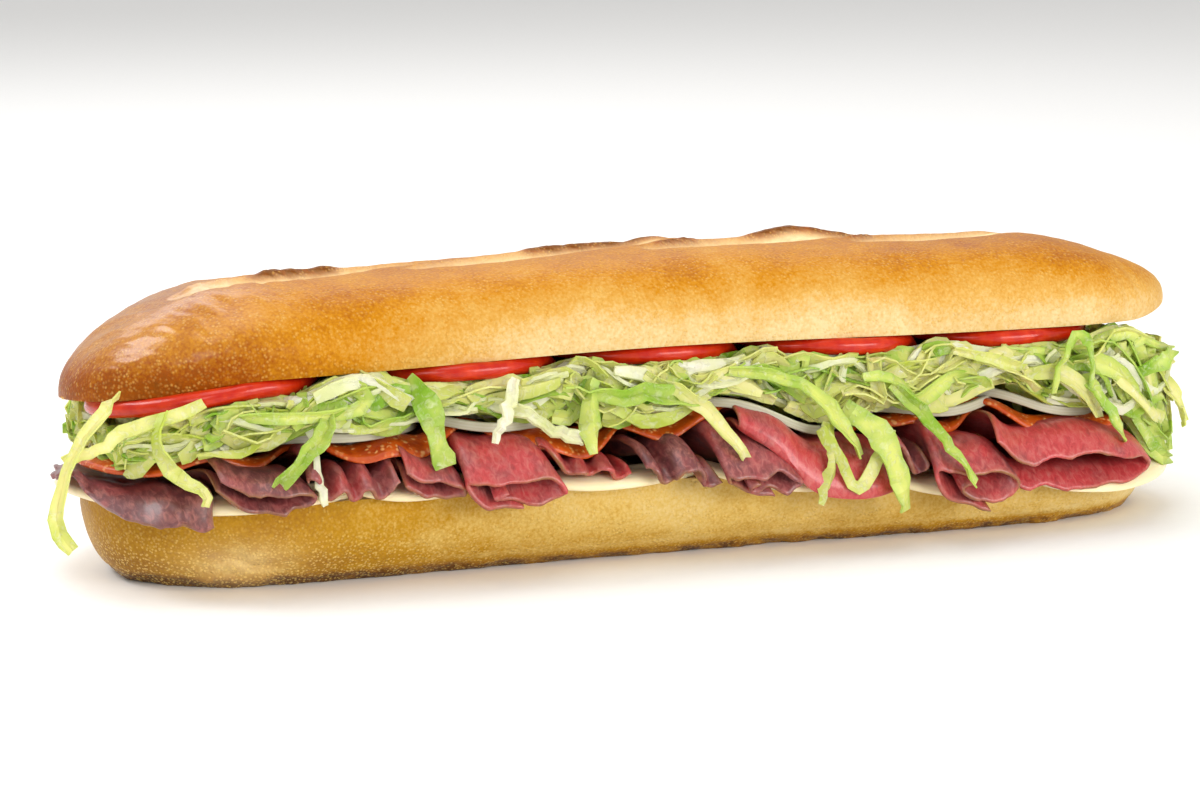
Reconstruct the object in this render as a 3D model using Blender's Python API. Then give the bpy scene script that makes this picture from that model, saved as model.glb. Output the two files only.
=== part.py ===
"""Submarine sandwich on a foot-long Italian roll, modelled as the stack of pieces that it is.

From the bottom: the heel of the roll, round cheese slices, folds of roast beef, pepperoni slices, onion arcs,
a heap of shredded lettuce, tomato slices and the crown of the roll. The sandwich lies along X and its full,
open side faces -Y. The flat of the heel stands on Z = 0, and the origin is the middle of the box's base.

Each layer is laid on a map of the heights below it, so limp slices follow what they lie on and hang over the
edge of the bread. Tomato slices are laid the same way, upside down, under the crown.
"""

import math

import bmesh
import bpy
import numpy as np

MM = 0.001
GAP = 0.45 * MM  # kept between neighbouring pieces
LOOSE_GAP = 1.3 * MM  # kept all round the heap of lettuce

# The roll.
ROLL_HALF_LENGTH = 156 * MM
HEEL_HALF_LENGTH = 151 * MM  # the heel is a little shorter than the crown
ROLL_HALF_WIDTH = 38 * MM
PLAN_END = 48 * MM  # length of each rounded end, seen from above
PROFILE_END = 50 * MM  # length of the crown's rounded right end, seen from the side
PROFILE_BLUNT_END = 40 * MM  # and of its left end, which is blunter
HEEL_PROFILE_END = 22 * MM
HEEL_BLUNT_END = 10 * MM  # the heel's left end is blunt
HEEL_LIFT = 12 * MM  # and its underside there was lifted off the oven floor
CUT_AT_LEFT = 23 * MM  # height of the heel's cut face at its thick end
CUT_AT_RIGHT = 13.5 * MM  # and at its thin end, because the knife ran downhill
CUT_FALL_START = -30 * MM
CUT_FALL_LENGTH = 130 * MM
HEEL_OVERRUN = 5 * MM  # how far the round of the heel was flattened on the oven floor
CROWN_HEIGHT = 24.5 * MM
CROWN_EDGE_Z = 54.8 * MM  # height of the crown's front edge
CROWN_TILT = math.radians(5)  # the crown is propped up at the front
CROWN_ARCH = 2 * MM
CROWN_LEFT_DROOP = 4.5 * MM  # the left tip of the crown's lower edge hangs lower
CROWN_RIGHT_RISE = 4.5 * MM  # and its right tip turns up
CROWN_DISH = 4 * MM
HEEL_DISH = 6.5 * MM
CROWN_SECTION_POWER = 2.35
HEEL_SECTION_POWER = 2.6

# Slashes across the crown.
SLASH_CENTRES = [-88 * MM, -25 * MM, 40 * MM, 101 * MM]
SLASH_HALF_LENGTH = 43 * MM
SLASH_HALF_WIDTH = 7 * MM
SLASH_ANGLE = math.radians(13)
SLASH_DEPTH = 2.6 * MM
SLASH_EAR = 1.9 * MM

# How limp slices hang past the edge of the bread.
SKIRT_CURVE = 0.05 / MM
SKIRT_STRAIGHT_FROM = 10 * MM

# Fillings: places of centres along X, and sizes.
CHEESE_PLACES = [(-111, 4), (-73, 2), (-26, -0.3), (26, 0.4), (77, 0.5), (112, -0.1)]
CHEESE_RADIUS = 45 * MM
CHEESE_THICKNESS = 2.2 * MM
BEEF_THICKNESS = 1.7 * MM
PEPPERONI_PLACES = [(-127, -11), (-82, -11), (-38, -12), (-4, -10), (34, -7), (69, -9), (107, -12)]
PEPPERONI_RADIUS = 29 * MM
PEPPERONI_THICKNESS = 1.6 * MM
ONION_HEIGHT = 3.0 * MM
ONION_BAND = 3.0 * MM
TOMATO_CENTRES = [x * MM for x in (-121, -58, -5, 47, 98)]
TOMATO_RADIUS = 30 * MM
TOMATO_THICKNESS = 4.6 * MM
LETTUCE_OVERHANG = 4.5 * MM
LETTUCE_UNEVEN = 2.2 * MM

# Roast beef folds: left and right edge along X, reach past the bread in front, height there, kind of fold.
BEEF_FOLDS = [
    (-153, -131, 9, 7.5, "hairpin"),
    (-130, -107, 6, 7.5, "ruffle"),
    (-106, -83, 8, 7.5, "ruffle"),
    (-82, -67, 8, 7.0, "hairpin"),
    (-66, -44, 11.5, 9.0, "roll"),
    (-43, -20, 6, 4.2, "hairpin"),
    (-19, 1, 9.5, 9.0, "ruffle"),
    (2, 23, 11, 9.0, "ruffle"),
    (24, 52, 12.5, 9.5, "roll"),
    (53, 64, 8, 6.0, "hairpin"),
    (65, 84, 12.5, 9.5, "roll"),
    (85, 133, 10, 9.5, "ruffle"),
]
BEEF_REACH_BEHIND = 6 * MM
BEEF_BACK_FULLNESS = 0.3
LAYERS_APART = 2.3 * MM

# Onion arcs: centre along X, centre along Y, radius, middle angle and swept angle in degrees.
ONION_ARCS = [
    (-92, -16, 26, -90, 190),
    (-53, -18, 25, -85, 150),
    (-8, 14, 25, 90, 200),
    (24, -16, 26, -95, 180),
    (72, -18, 24, -85, 190),
    (104, -14, 27, -100, 170),
]

MAP_STEP = 1.0 * MM
MAP_HALF_X = 190 * MM
MAP_HALF_Y = 70 * MM

COLOURS = {  # base colour, roughness
    "crust": ((0.62, 0.33, 0.10), 0.45),
    "cheese": ((0.86, 0.80, 0.58), 0.40),
    "beef": ((0.48, 0.20, 0.19), 0.45),
    "pepperoni": ((0.64, 0.15, 0.04), 0.40),
    "onion": ((0.83, 0.84, 0.76), 0.30),
    "lettuce": ((0.50, 0.64, 0.20), 0.45),
    "tomato": ((0.66, 0.05, 0.02), 0.25),
}


def material(name):
    """The Principled material of that name, made on first use."""
    found = bpy.data.materials.get(name)
    if found:
        return found
    made = bpy.data.materials.new(name)
    made.use_nodes = True
    shader = made.node_tree.nodes["Principled BSDF"]
    colour, roughness = COLOURS[name]
    shader.inputs["Base Color"].default_value = (*colour, 1)
    shader.inputs["Roughness"].default_value = roughness
    shader.inputs["Metallic"].default_value = 0
    return made


def smooth_step(value, start, length):
    """0 before start, 1 after start + length, and a smooth rise between them."""
    t = np.clip((value - start) / length, 0, 1)
    return t * t * (3 - 2 * t)


def waves(x, y, length, seed):
    """Gentle unevenness from -1 to 1: three plane waves of about that length in seeded directions."""
    rng = np.random.default_rng(seed)
    total = 0
    for turn, phase, stretch in zip(rng.uniform(0, math.pi, 3), rng.uniform(0, 6.3, 3), (0.8, 1.0, 1.3)):
        along = x * math.cos(turn) + y * math.sin(turn)
        total = total + np.sin(2 * math.pi * along / (length * stretch) + phase)
    return total / 3


# ---------------------------------------------------------------- the roll's own shape


def end_taper(x, end_length, half_length=ROLL_HALF_LENGTH):
    """1 along the roll's straight part, and down to 0 at its tips as a quarter ellipse."""
    into = np.clip((np.abs(x) - (half_length - end_length)) / end_length, 0, 1)
    return np.sqrt(1 - into**2)


def outside_heel(x, y):
    """How far a point lies outside the heel's outline, seen from above; negative inside it."""
    past = np.maximum(np.abs(x) - (HEEL_HALF_LENGTH - PLAN_END), 0)
    return np.hypot(past * ROLL_HALF_WIDTH / PLAN_END, y) - ROLL_HALF_WIDTH


def dish(x, y):
    """1 in the middle of the roll's plan and 0 near its outline: where the fillings press into the crumb."""
    share = (outside_heel(x, y) + ROLL_HALF_WIDTH) / ROLL_HALF_WIDTH
    return np.clip(1 - 1.3 * share**2, 0, 1)


def heel_cut(x, y):
    """Height of the heel's cut face, which runs downhill to the right and is pressed in at its middle."""
    edge = CUT_AT_LEFT - (CUT_AT_LEFT - CUT_AT_RIGHT) * smooth_step(x, CUT_FALL_START, CUT_FALL_LENGTH)
    return edge - HEEL_DISH * dish(x, y)


def filling_floor(x, y):
    """The heel's cut face, carried on past the bread as the curve in which limp slices hang."""
    beyond = np.maximum(outside_heel(x, y), 0)
    near = np.minimum(beyond, SKIRT_STRAIGHT_FROM)
    slope = 2 * SKIRT_CURVE * SKIRT_STRAIGHT_FROM
    return heel_cut(x, y) - SKIRT_CURVE * near**2 - slope * (beyond - near)


def crown_edge(x, y):
    """Height of the crown's lower edge: tilted up at the front, arched a little, low at its left tip and high at
    its right tip."""
    arch = CROWN_ARCH * np.exp(-(((x + 8 * MM) / (70 * MM)) ** 2))
    droop = CROWN_LEFT_DROOP * smooth_step(-x, 112 * MM, 44 * MM)
    rise = CROWN_RIGHT_RISE * smooth_step(x, 132 * MM, 30 * MM)
    return CROWN_EDGE_Z + arch + rise - droop - (y + ROLL_HALF_WIDTH) * math.tan(CROWN_TILT)


def crown_cut(x, y):
    """Height of the crown's cut face, which is pressed in at its middle."""
    return crown_edge(x, y) + CROWN_DISH * dish(x, y)


def slash_relief(x, y):
    """Depth of the slashes below the crown's dome: a leaf-shaped trough with a raised lip along its far side."""
    relief = 0
    for centre in SLASH_CENTRES:
        along = (x - centre) * math.cos(SLASH_ANGLE) + y * math.sin(SLASH_ANGLE)
        across = y * math.cos(SLASH_ANGLE) - (x - centre) * math.sin(SLASH_ANGLE)
        leaf = np.clip(1 - (along / SLASH_HALF_LENGTH) ** 2, 0, 1)
        width = SLASH_HALF_WIDTH * (0.35 + 0.65 * leaf)
        trough = np.exp(-((across / width) ** 4))
        lip = np.exp(-(((across - 1.25 * width) / (0.45 * width)) ** 2))
        relief = relief + np.sqrt(leaf) * (SLASH_EAR * lip - SLASH_DEPTH * trough)
    return relief


def stations(count):
    """Places along X from tip to tip, closer together towards the tips."""
    t = np.linspace(-1, 1, count)
    return ROLL_HALF_LENGTH * np.sign(t) * (1 - (1 - np.abs(t)) ** 1.7) * 0.999


def superellipse(angle, power):
    """Unit cosine and sine of a superellipse of that power."""
    c, s = np.cos(angle), np.sin(angle)
    return np.sign(c) * np.abs(c) ** (2 / power), np.sign(s) * np.abs(s) ** (2 / power)


def crown_sections():
    """Loops of the crown: over the dome from front to back, then along the cut face to the front."""
    tuck = math.radians(9)  # the cut lies a little under the widest line
    dome_c, dome_s = superellipse(np.linspace(-tuck, math.pi + tuck, 17), CROWN_SECTION_POWER)
    face = np.linspace(1, -1, 7)[1:-1]
    loops = []
    for x in stations(44):
        half_width = ROLL_HALF_WIDTH * end_taper(x, PLAN_END)
        lean = 1 - 0.05 * ((x - 40 * MM) / ROLL_HALF_LENGTH) ** 2
        end = PROFILE_END if x > 0 else PROFILE_BLUNT_END
        height = CROWN_HEIGHT * lean * end_taper(x, end)
        y = -half_width * dome_c
        up = height * (dome_s - dome_s[0]) / (1 - dome_s[0])
        fade = np.clip(2.5 * up / CROWN_HEIGHT - 1.2, 0, 1)
        lumps = 0.7 * MM * waves(x, y, 46 * MM, 3) * end_taper(x, end) * (up > 0)
        z = crown_edge(x, y) + up + fade * slash_relief(x, y) + lumps
        dome = np.stack([np.full_like(y, x), y, z], axis=1)
        face_y = face * abs(y[0])
        hollow = np.minimum(crown_cut(x, face_y), crown_edge(x, face_y) + 0.4 * height)
        bottom = np.stack([np.full_like(face_y, x), face_y, hollow], axis=1)
        loops.append(np.concatenate([dome, bottom]))
    return loops


def heel_sections():
    """Loops of the heel: from the front edge under the flat base to the back edge, then across the cut face."""
    under_c, under_s = superellipse(np.linspace(0, math.pi, 15), HEEL_SECTION_POWER)
    face = np.linspace(1, -1, 7)[1:-1]
    loops = []
    for x in stations(36) * HEEL_HALF_LENGTH / ROLL_HALF_LENGTH:
        half_width = (ROLL_HALF_WIDTH - 0.3 * MM) * end_taper(x, PLAN_END, HEEL_HALF_LENGTH)
        cut = float(heel_cut(x, ROLL_HALF_WIDTH))
        lift = HEEL_LIFT * smooth_step(-x, 118 * MM, 34 * MM)
        end = HEEL_PROFILE_END if x > 0 else HEEL_BLUNT_END
        depth = (cut + HEEL_OVERRUN - lift) * end_taper(x, end, HEEL_HALF_LENGTH)
        y = -half_width * under_c
        z = np.maximum(cut - depth * under_s, 0)
        under = np.stack([np.full_like(y, x), y, z], axis=1)
        face_y = face * half_width
        sunk = np.maximum(heel_cut(x, face_y), cut - 0.7 * depth)
        top = np.stack([np.full_like(face_y, x), face_y, sunk], axis=1)
        loops.append(np.concatenate([under, top]))
    return loops


# ---------------------------------------------------------------- maps of what has been laid


class HeightMap:
    """Heights over the sandwich's plan on a square grid. up is 1 for a floor, and -1 for the ceiling under
    the crown, whose heights are kept negated so that laying on either is the same work."""

    def __init__(self, surface, up):
        self.up = up
        self.x = np.arange(-MAP_HALF_X, MAP_HALF_X + MAP_STEP / 2, MAP_STEP)
        self.y = np.arange(-MAP_HALF_Y, MAP_HALF_Y + MAP_STEP / 2, MAP_STEP)
        self.gx, self.gy = np.meshgrid(self.x, self.y, indexing="ij")
        self.z = up * surface(self.gx, self.gy)

    def cells_in(self, plan, triangles):
        """The map cells inside each triangle: their flat numbers, the triangle's corners and their weights."""
        cells, corners, weights = [], [], []
        for corner in triangles:
            (ax, ay), (bx, by), (cx, cy) = plan[corner]
            area = (bx - ax) * (cy - ay) - (cx - ax) * (by - ay)
            if abs(area) < 1e-12:
                continue
            xs, ys = (ax, bx, cx), (ay, by, cy)
            i0, i1 = np.searchsorted(self.x, (min(xs), max(xs)))
            j0, j1 = np.searchsorted(self.y, (min(ys), max(ys)))
            px, py = self.gx[i0:i1, j0:j1], self.gy[i0:i1, j0:j1]
            wb = ((px - ax) * (cy - ay) - (cx - ax) * (py - ay)) / area
            wc = ((bx - ax) * (py - ay) - (px - ax) * (by - ay)) / area
            inside = (wb >= -1e-6) & (wc >= -1e-6) & (wb + wc <= 1 + 1e-6)
            i, j = np.nonzero(inside)
            cells.append((i + i0) * len(self.y) + j + j0)
            corners.append(np.tile(corner, (len(i), 1)))
            weights.append(np.stack([1 - wb - wc, wb, wc], axis=-1)[inside])
        return np.concatenate(cells), np.concatenate(corners), np.concatenate(weights)

    def sample(self, x, y):
        """Height of the map at any points, read between its cells."""
        u = np.clip((x + MAP_HALF_X) / MAP_STEP, 0, len(self.x) - 1.001)
        v = np.clip((y + MAP_HALF_Y) / MAP_STEP, 0, len(self.y) - 1.001)
        i, j = u.astype(int), v.astype(int)
        s, t = u - i, v - j
        low = self.z[i, j] * (1 - t) + self.z[i, j + 1] * t
        high = self.z[i + 1, j] * (1 - t) + self.z[i + 1, j + 1] * t
        return low * (1 - s) + high * s

    def drape(self, plan, triangles, clearance):
        """Heights of a sheet's points, such that each of its triangles clears the map: the points start on the
        map, and those round a cell that isn't cleared rise, the nearest most."""
        cells, corners, weights = self.cells_in(plan, triangles)
        heights = self.sample(plan[:, 0], plan[:, 1]) + clearance
        most = heights.copy()  # no point needs to be above the highest cell of its own triangles
        np.maximum.at(most, corners, (self.z.ravel()[cells] + clearance)[:, None].repeat(3, axis=1))
        share = weights / (weights**2).sum(axis=1, keepdims=True)
        for _ in range(200):
            short = self.z.ravel()[cells] + clearance - (heights[corners] * weights).sum(axis=1)
            if short.max() < 0.01 * MM:
                break
            rise = np.zeros_like(heights)
            np.maximum.at(rise, corners, np.maximum(short, 0)[:, None] * share)
            heights = np.minimum(heights + rise, most)
        return heights

    def cover(self, plan, triangles, tops):
        """Raises the map to a piece's top, and does so one cell past its edge."""
        cells, corners, weights = self.cells_in(plan, triangles)
        layer = np.full(self.z.size, -1.0)
        np.maximum.at(layer, cells, (tops[corners] * weights).sum(axis=1))
        layer = layer.reshape(self.z.shape)
        spread = layer
        for axis in (0, 1):
            spread = np.max([np.roll(spread, k, axis) for k in (-1, 0, 1)], axis=0)
        self.z = np.maximum(self.z, np.where(layer > -1, layer, spread))


# ---------------------------------------------------------------- making objects


def finish(name, bm, material_name, origin):
    """The object for a closed bmesh, with its faces pointing out and its parent set."""
    bmesh.ops.remove_doubles(bm, verts=bm.verts, dist=0.00001)
    bmesh.ops.recalc_face_normals(bm, faces=bm.faces)
    mesh = bpy.data.meshes.new(name)
    bm.to_mesh(mesh)
    bm.free()
    mesh.shade_smooth()
    mesh.set_sharp_from_angle(angle=math.radians(40))
    mesh.materials.append(material(material_name))
    made = bpy.data.objects.new(name, mesh)
    bpy.context.scene.collection.objects.link(made)
    made.parent = origin
    return made


def loft(name, loops, material_name, origin):
    """A solid skinned through section loops, with both ends filled."""
    bm = bmesh.new()
    rings = [[bm.verts.new(point) for point in loop] for loop in loops]
    for near, far in zip(rings, rings[1:]):
        for k in range(len(near)):
            bm.faces.new((near[k - 1], near[k], far[k], far[k - 1]))
    bm.faces.new(rings[0])
    bm.faces.new(rings[-1])
    return finish(name, bm, material_name, origin)


def thicken(bm, up, thickness):
    """Turns a sheet into a slab by extruding its faces straight up, or down for the ceiling."""
    made = bmesh.ops.extrude_face_region(bm, geom=bm.faces[:])
    moved = [part for part in made["geom"] if isinstance(part, bmesh.types.BMVert)]
    bmesh.ops.translate(bm, verts=moved, vec=(0, 0, up * thickness))


def lay_disc(name, heights, centre, radius, thickness, around, rings, seed, material_name, origin):
    """A round slice, a little out of true, resting on all that lies under it. It has a point in the middle and
    rings of points around it, the outermost on its rim."""
    turn = np.linspace(0, 2 * math.pi, around, endpoint=False)
    rim = radius * (1 + 0.02 * np.sin(2 * turn + seed) + 0.012 * np.sin(3 * turn + 2 * seed))
    spokes = np.stack([rim * np.cos(turn), rim * np.sin(turn)], axis=1)
    shares = 1 - (1 - np.arange(1, rings + 1) / rings) ** 1.2
    plan = np.concatenate([[(0, 0)]] + [share * spokes for share in shares]) + centre
    triangles = []
    for k in range(around):
        near, far = 1 + k, 1 + (k + 1) % around
        triangles.append((0, near, far))
        for _ in range(rings - 1):
            triangles += [(near, near + around, far + around), (near, far + around, far)]
            near, far = near + around, far + around
    return lay_slab(name, heights, plan, np.array(triangles), thickness, material_name, origin)


def lay_arc(name, heights, centre, radius, middle, swept, origin):
    """A curved strip of onion ring, resting on all that lies under it."""
    angles = np.radians(middle + np.linspace(-swept / 2, swept / 2, 13))
    ray = np.stack([np.cos(angles), np.sin(angles)], axis=1)
    plan = np.concatenate([(radius - ONION_BAND) * ray, radius * ray]) + centre
    count = len(angles)
    triangles = []
    for k in range(count - 1):
        triangles += [(k, k + count, k + count + 1), (k, k + count + 1, k + 1)]
    return lay_slab(name, heights, plan, np.array(triangles), ONION_HEIGHT, "onion", origin)


def lay_slab(name, heights, plan, triangles, thickness, material_name, origin):
    """A slab of even upright thickness over a plan's triangles, resting on all that lies under it."""
    under = heights.drape(plan, triangles, GAP if thickness < ONION_HEIGHT else 1.5 * GAP)
    heights.cover(plan, triangles, under + thickness)
    bm = bmesh.new()
    points = [bm.verts.new((x, y, heights.up * z)) for (x, y), z in zip(plan, under)]
    for corner in triangles:
        bm.faces.new([points[k] for k in corner])
    thicken(bm, heights.up, thickness)
    return finish(name, bm, material_name, origin)


# ---------------------------------------------------------------- roast beef


def ruffle(width, height):
    """Centre line of a slice gathered into waves: a curve whose heading swings as a sine."""
    turns = max(1, round(width / (17 * MM)))
    s = np.linspace(0, 1, 6 * turns + 1)

    fine = np.linspace(0, 1, 400)
    swing = math.radians(78) * np.cos(2 * math.pi * turns * fine)
    x = np.interp(s, fine, np.cumsum(np.cos(swing)))
    z = np.interp(s, fine, np.cumsum(np.sin(swing)))

    return width * (x - x.min()) / np.ptp(x), height * (z - z.min()) / np.ptp(z)


def hairpin(width, height):
    """Centre line of a slice folded once: out along the bottom, round a bend, and back along the top."""
    bend = np.linspace(-math.pi / 2, math.pi / 2, 6)
    radius = height / 2
    x = np.concatenate([[0, (width - radius) / 2], width - radius + radius * np.cos(bend), [width * 0.45, 0.06 * width]])
    z = np.concatenate([[0, 0], radius + radius * np.sin(bend), [height, height * 0.92]])
    return x, z


def roll(width, height):
    """Centre line of a slice rolled into a tube that stays open along its lower right."""
    angle = np.linspace(0, math.radians(300), 12)
    x = width / 2 - width / 2 * np.sin(angle)
    z = height / 2 - height / 2 * np.cos(angle)
    return x, z


FOLD_SHAPES = {"ruffle": ruffle, "hairpin": hairpin, "roll": roll}


def lay_fold(name, heights, left, right, reach, height, kind, origin):
    """A folded slice of beef that runs from the front of the sandwich to its back. The fold's section stands
    on what lies below, is fuller at the front, and Solidify gives the slice its thickness."""
    inset = BEEF_THICKNESS / 2 + GAP / 2
    across, above = FOLD_SHAPES[kind](right - left - 2 * inset, height - BEEF_THICKNESS)
    shares = np.array([0, 0.14, 0.34, 0.7, 1])
    back_fullness = BEEF_BACK_FULLNESS
    if kind != "ruffle":
        back_fullness = max(back_fullness, LAYERS_APART / np.ptp(above))

    def line(x, share):
        """Y at that share of the way from the fold's front to its back: both ends follow the bread's edge."""
        edge = ROLL_HALF_WIDTH * end_taper(x, PLAN_END)
        return (edge + BEEF_REACH_BEHIND) * share - (edge + reach) * (1 - share)

    columns = np.linspace(left, right, 4)
    plan = np.array([(x, line(x, share)) for share in shares for x in columns])
    triangles = strip_triangles(len(shares), len(columns))
    clearance = GAP + 0.8 * BEEF_THICKNESS
    bed = heights.drape(plan, triangles, clearance).reshape(len(shares), len(columns))

    points = []
    for share, level in zip(shares, bed):
        x = left + inset + across
        ragged = 2.2 * MM * np.sin(3.1 * x / (10 * MM) + height / MM) * (1 - 2 * share)
        y = line(x, share) + ragged * (share in (0, 1))
        full = 1 - (1 - back_fullness) * share
        points.append(np.stack([x, y, np.interp(x, columns, level) + above * full], axis=1))
    count = len(across)
    points = np.concatenate(points)
    bm = bmesh.new()
    verts = [bm.verts.new(point) for point in points]
    for row in range(len(shares) - 1):
        for k in range(row * count, row * count + count - 1):
            bm.faces.new((verts[k], verts[k + 1], verts[k + 1 + count], verts[k + count]))
    heights.cover(points[:, :2], strip_triangles(len(shares), count), points[:, 2] + 0.75 * BEEF_THICKNESS)
    made = finish(name, bm, "beef", origin)
    slab = made.modifiers.new("slice thickness", "SOLIDIFY")
    slab.thickness = BEEF_THICKNESS
    slab.offset = 0
    slab.use_even_offset = True
    return made


def strip_triangles(rows, columns):
    """Triangles of a grid of points numbered row by row."""
    triangles = []
    for row in range(rows - 1):
        for k in range(row * columns, row * columns + columns - 1):
            triangles += [(k, k + 1, k + 1 + columns), (k, k + 1 + columns, k + columns)]
    return np.array(triangles)


# ---------------------------------------------------------------- lettuce


def lay_heap(name, floor, ceiling, origin):
    """The lettuce: all the room between what lies below it and what hangs above it, out to an uneven rim that
    overhangs the bread. Sections across the sandwich are joined along it."""
    shares = np.array([-1, -0.84, -0.5, 0, 0.5, 0.84, 1])
    lines = stations(36) * 0.985 + MM
    front, back = [
        (ROLL_HALF_WIDTH + LETTUCE_OVERHANG) * end_taper(lines, PLAN_END)
        + LETTUCE_UNEVEN * waves(lines, side, 24 * MM, 11)
        for side in (-40 * MM, 40 * MM)
    ]
    half_width = np.where(shares < 0, np.maximum(front, 3 * MM)[:, None], np.maximum(back, 3 * MM)[:, None])
    x = np.repeat(lines[:, None], len(shares), axis=1)
    y = shares * half_width
    plan = np.stack([x.ravel(), y.ravel()], axis=1)
    triangles = strip_triangles(len(lines), len(shares))
    low = floor.drape(plan, triangles, LOOSE_GAP).reshape(x.shape)
    high = -ceiling.drape(plan, triangles, LOOSE_GAP).reshape(x.shape)
    for rim, inner in ((0, 1), (-1, -2)):
        low[:, rim] = np.maximum(low[:, rim], low[:, inner] - 1.5 * MM)
        high[:, rim] = np.minimum(high[:, rim], high[:, inner] - MM * (1 + waves(x[:, 0], y[:, rim], 19 * MM, 7)))
    high = np.maximum(high, low + 0.4 * MM)
    loops = []
    for k in range(len(lines)):
        bottom = np.stack([x[k], y[k], low[k]], axis=1)
        top = np.stack([x[k], y[k], high[k]], axis=1)
        bulge = (bottom + top) / 2
        bulge[:, 1] += np.sign(y[k]) * MM
        loops.append(np.concatenate([bottom, bulge[-1:], top[::-1], bulge[:1]]))
    return loft(name, loops, "lettuce", origin)


# ---------------------------------------------------------------- the sandwich


def stand_on_origin(origin):
    """Moves the whole sandwich so that its box is centred on the origin and stands on Z = 0."""
    bpy.context.view_layer.update()
    graph = bpy.context.evaluated_depsgraph_get()
    corners = []
    for piece in origin.children:
        evaluated = piece.evaluated_get(graph)
        points = np.empty(len(evaluated.data.vertices) * 3, np.float32)
        evaluated.data.vertices.foreach_get("co", points)
        points = points.reshape(-1, 3)
        corners += [points.min(axis=0), points.max(axis=0)]
    low, high = np.min(corners, axis=0), np.max(corners, axis=0)
    origin.location = (-(low[0] + high[0]) / 2, -(low[1] + high[1]) / 2, -low[2])
    bpy.context.view_layer.update()


def build():
    for old in list(bpy.data.objects):
        bpy.data.objects.remove(old, do_unlink=True)
    origin = bpy.data.objects.new("sandwich", None)
    bpy.context.scene.collection.objects.link(origin)

    loft("heel", heel_sections(), "crust", origin)
    loft("crown", crown_sections(), "crust", origin)

    floor = HeightMap(filling_floor, 1)
    for k, (x, y) in enumerate(CHEESE_PLACES):
        place = (x * MM, y * MM)
        lay_disc(f"cheese_{k + 1}", floor, place, CHEESE_RADIUS, CHEESE_THICKNESS, 18, 3, k, "cheese", origin)
    for k, (left, right, reach, height, kind) in enumerate(BEEF_FOLDS):
        lay_fold(f"roast_beef_{k + 1:02d}", floor, left * MM, right * MM, reach * MM, height * MM, kind, origin)
    for k, (x, y) in enumerate(PEPPERONI_PLACES):
        place = (x * MM, y * MM)
        size = (PEPPERONI_RADIUS, PEPPERONI_THICKNESS)
        lay_disc(f"pepperoni_{k + 1}", floor, place, *size, 16, 2, k + 2, "pepperoni", origin)
    for k, (x, y, radius, middle, swept) in enumerate(ONION_ARCS):
        lay_arc(f"onion_{k + 1}", floor, (x * MM, y * MM), radius * MM, middle, swept, origin)

    ceiling = HeightMap(crown_cut, -1)
    for k, x in reversed(list(enumerate(TOMATO_CENTRES))):
        place = (x, -9 * MM + 1.2 * MM * math.sin(4 * k))
        lay_disc(f"tomato_{k + 1}", ceiling, place, TOMATO_RADIUS, TOMATO_THICKNESS, 18, 2, k + 9, "tomato", origin)
    lay_heap("lettuce", floor, ceiling, origin)
    stand_on_origin(origin)


build()
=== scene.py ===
"""Submarine sandwich on a foot-long roll: the finished look of every piece, with the stage it stands on.

Laid out as a Blender add-on and run as a script. Each operator makes one piece, or one group of like
pieces. Shapes are worked out in millimetres, measured from the middle of the roll, and every slice is laid on
a map of what lies under it, so that limp slices follow each other and hang over the edge of the bread.
"""

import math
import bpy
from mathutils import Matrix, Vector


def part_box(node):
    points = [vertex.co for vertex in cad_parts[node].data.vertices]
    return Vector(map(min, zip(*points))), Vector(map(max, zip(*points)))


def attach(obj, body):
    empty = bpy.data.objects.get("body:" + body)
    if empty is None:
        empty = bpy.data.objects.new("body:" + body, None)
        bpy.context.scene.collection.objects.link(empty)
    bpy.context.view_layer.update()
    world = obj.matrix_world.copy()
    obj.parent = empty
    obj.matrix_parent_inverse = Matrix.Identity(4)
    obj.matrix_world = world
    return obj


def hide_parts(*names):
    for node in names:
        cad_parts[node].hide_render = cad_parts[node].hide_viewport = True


bl_info = {
    "name": "Submarine Sandwich",
    "version": (1, 0, 0),
    "blender": (4, 5, 0),
    "location": "3D View > Sidebar > Sandwich",
    "description": "Makes a filled foot-long roll, slice by slice, on a plain stage",
    "category": "Add Mesh",
}

import bpy
import numpy as np
from mathutils import Vector

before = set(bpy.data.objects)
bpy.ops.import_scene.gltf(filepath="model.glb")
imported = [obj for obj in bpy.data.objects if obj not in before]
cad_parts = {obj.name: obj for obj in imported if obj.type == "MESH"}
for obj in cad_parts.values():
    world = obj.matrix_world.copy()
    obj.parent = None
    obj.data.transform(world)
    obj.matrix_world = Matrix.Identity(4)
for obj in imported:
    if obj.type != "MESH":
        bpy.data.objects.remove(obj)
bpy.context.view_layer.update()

MM = 0.001
CROWN_LOW, CROWN_HIGH = (np.array(corner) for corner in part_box("crown"))
SHIFT = (CROWN_LOW + CROWN_HIGH) / 2 * (1, 1, 0)  # from the middle of the roll to the frame's origin

# The roll, in millimetres.
HALF_LENGTH = 156
HALF_WIDTH = 38
PLAN_END = 48  # length of each rounded end, seen from above
CROWN_HEIGHT = 24.5
CROWN_EDGE = 54.8  # height of the crown's front edge at its middle
CROWN_ARCH = 2
CROWN_TIP = 4.5  # droop of its left tip and rise of its right tip
CROWN_TILT = math.radians(5)
CROWN_HOLLOW = 4
CROWN_TUCK = math.radians(9)  # how far the sections curl in below their widest place
CROWN_SQUARENESS = 2.35
PROFILE_END = 50  # length of the right end, seen from the side
PROFILE_BLUNT_END = 40  # and of the left end
KNOBS = [(-121, -6, 1.2, 4), (107, 0, 2.0, 6), (10, 8, 2.0, 7), (52, 9, 2.6, 13)]  # x, y, height, size
HEEL_HALF_LENGTH = 151
HEEL_HEIGHT = 23
HEEL_FALL = 9.5  # how much lower its cut face is at the right
HEEL_HOLLOW = 6.5
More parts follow.
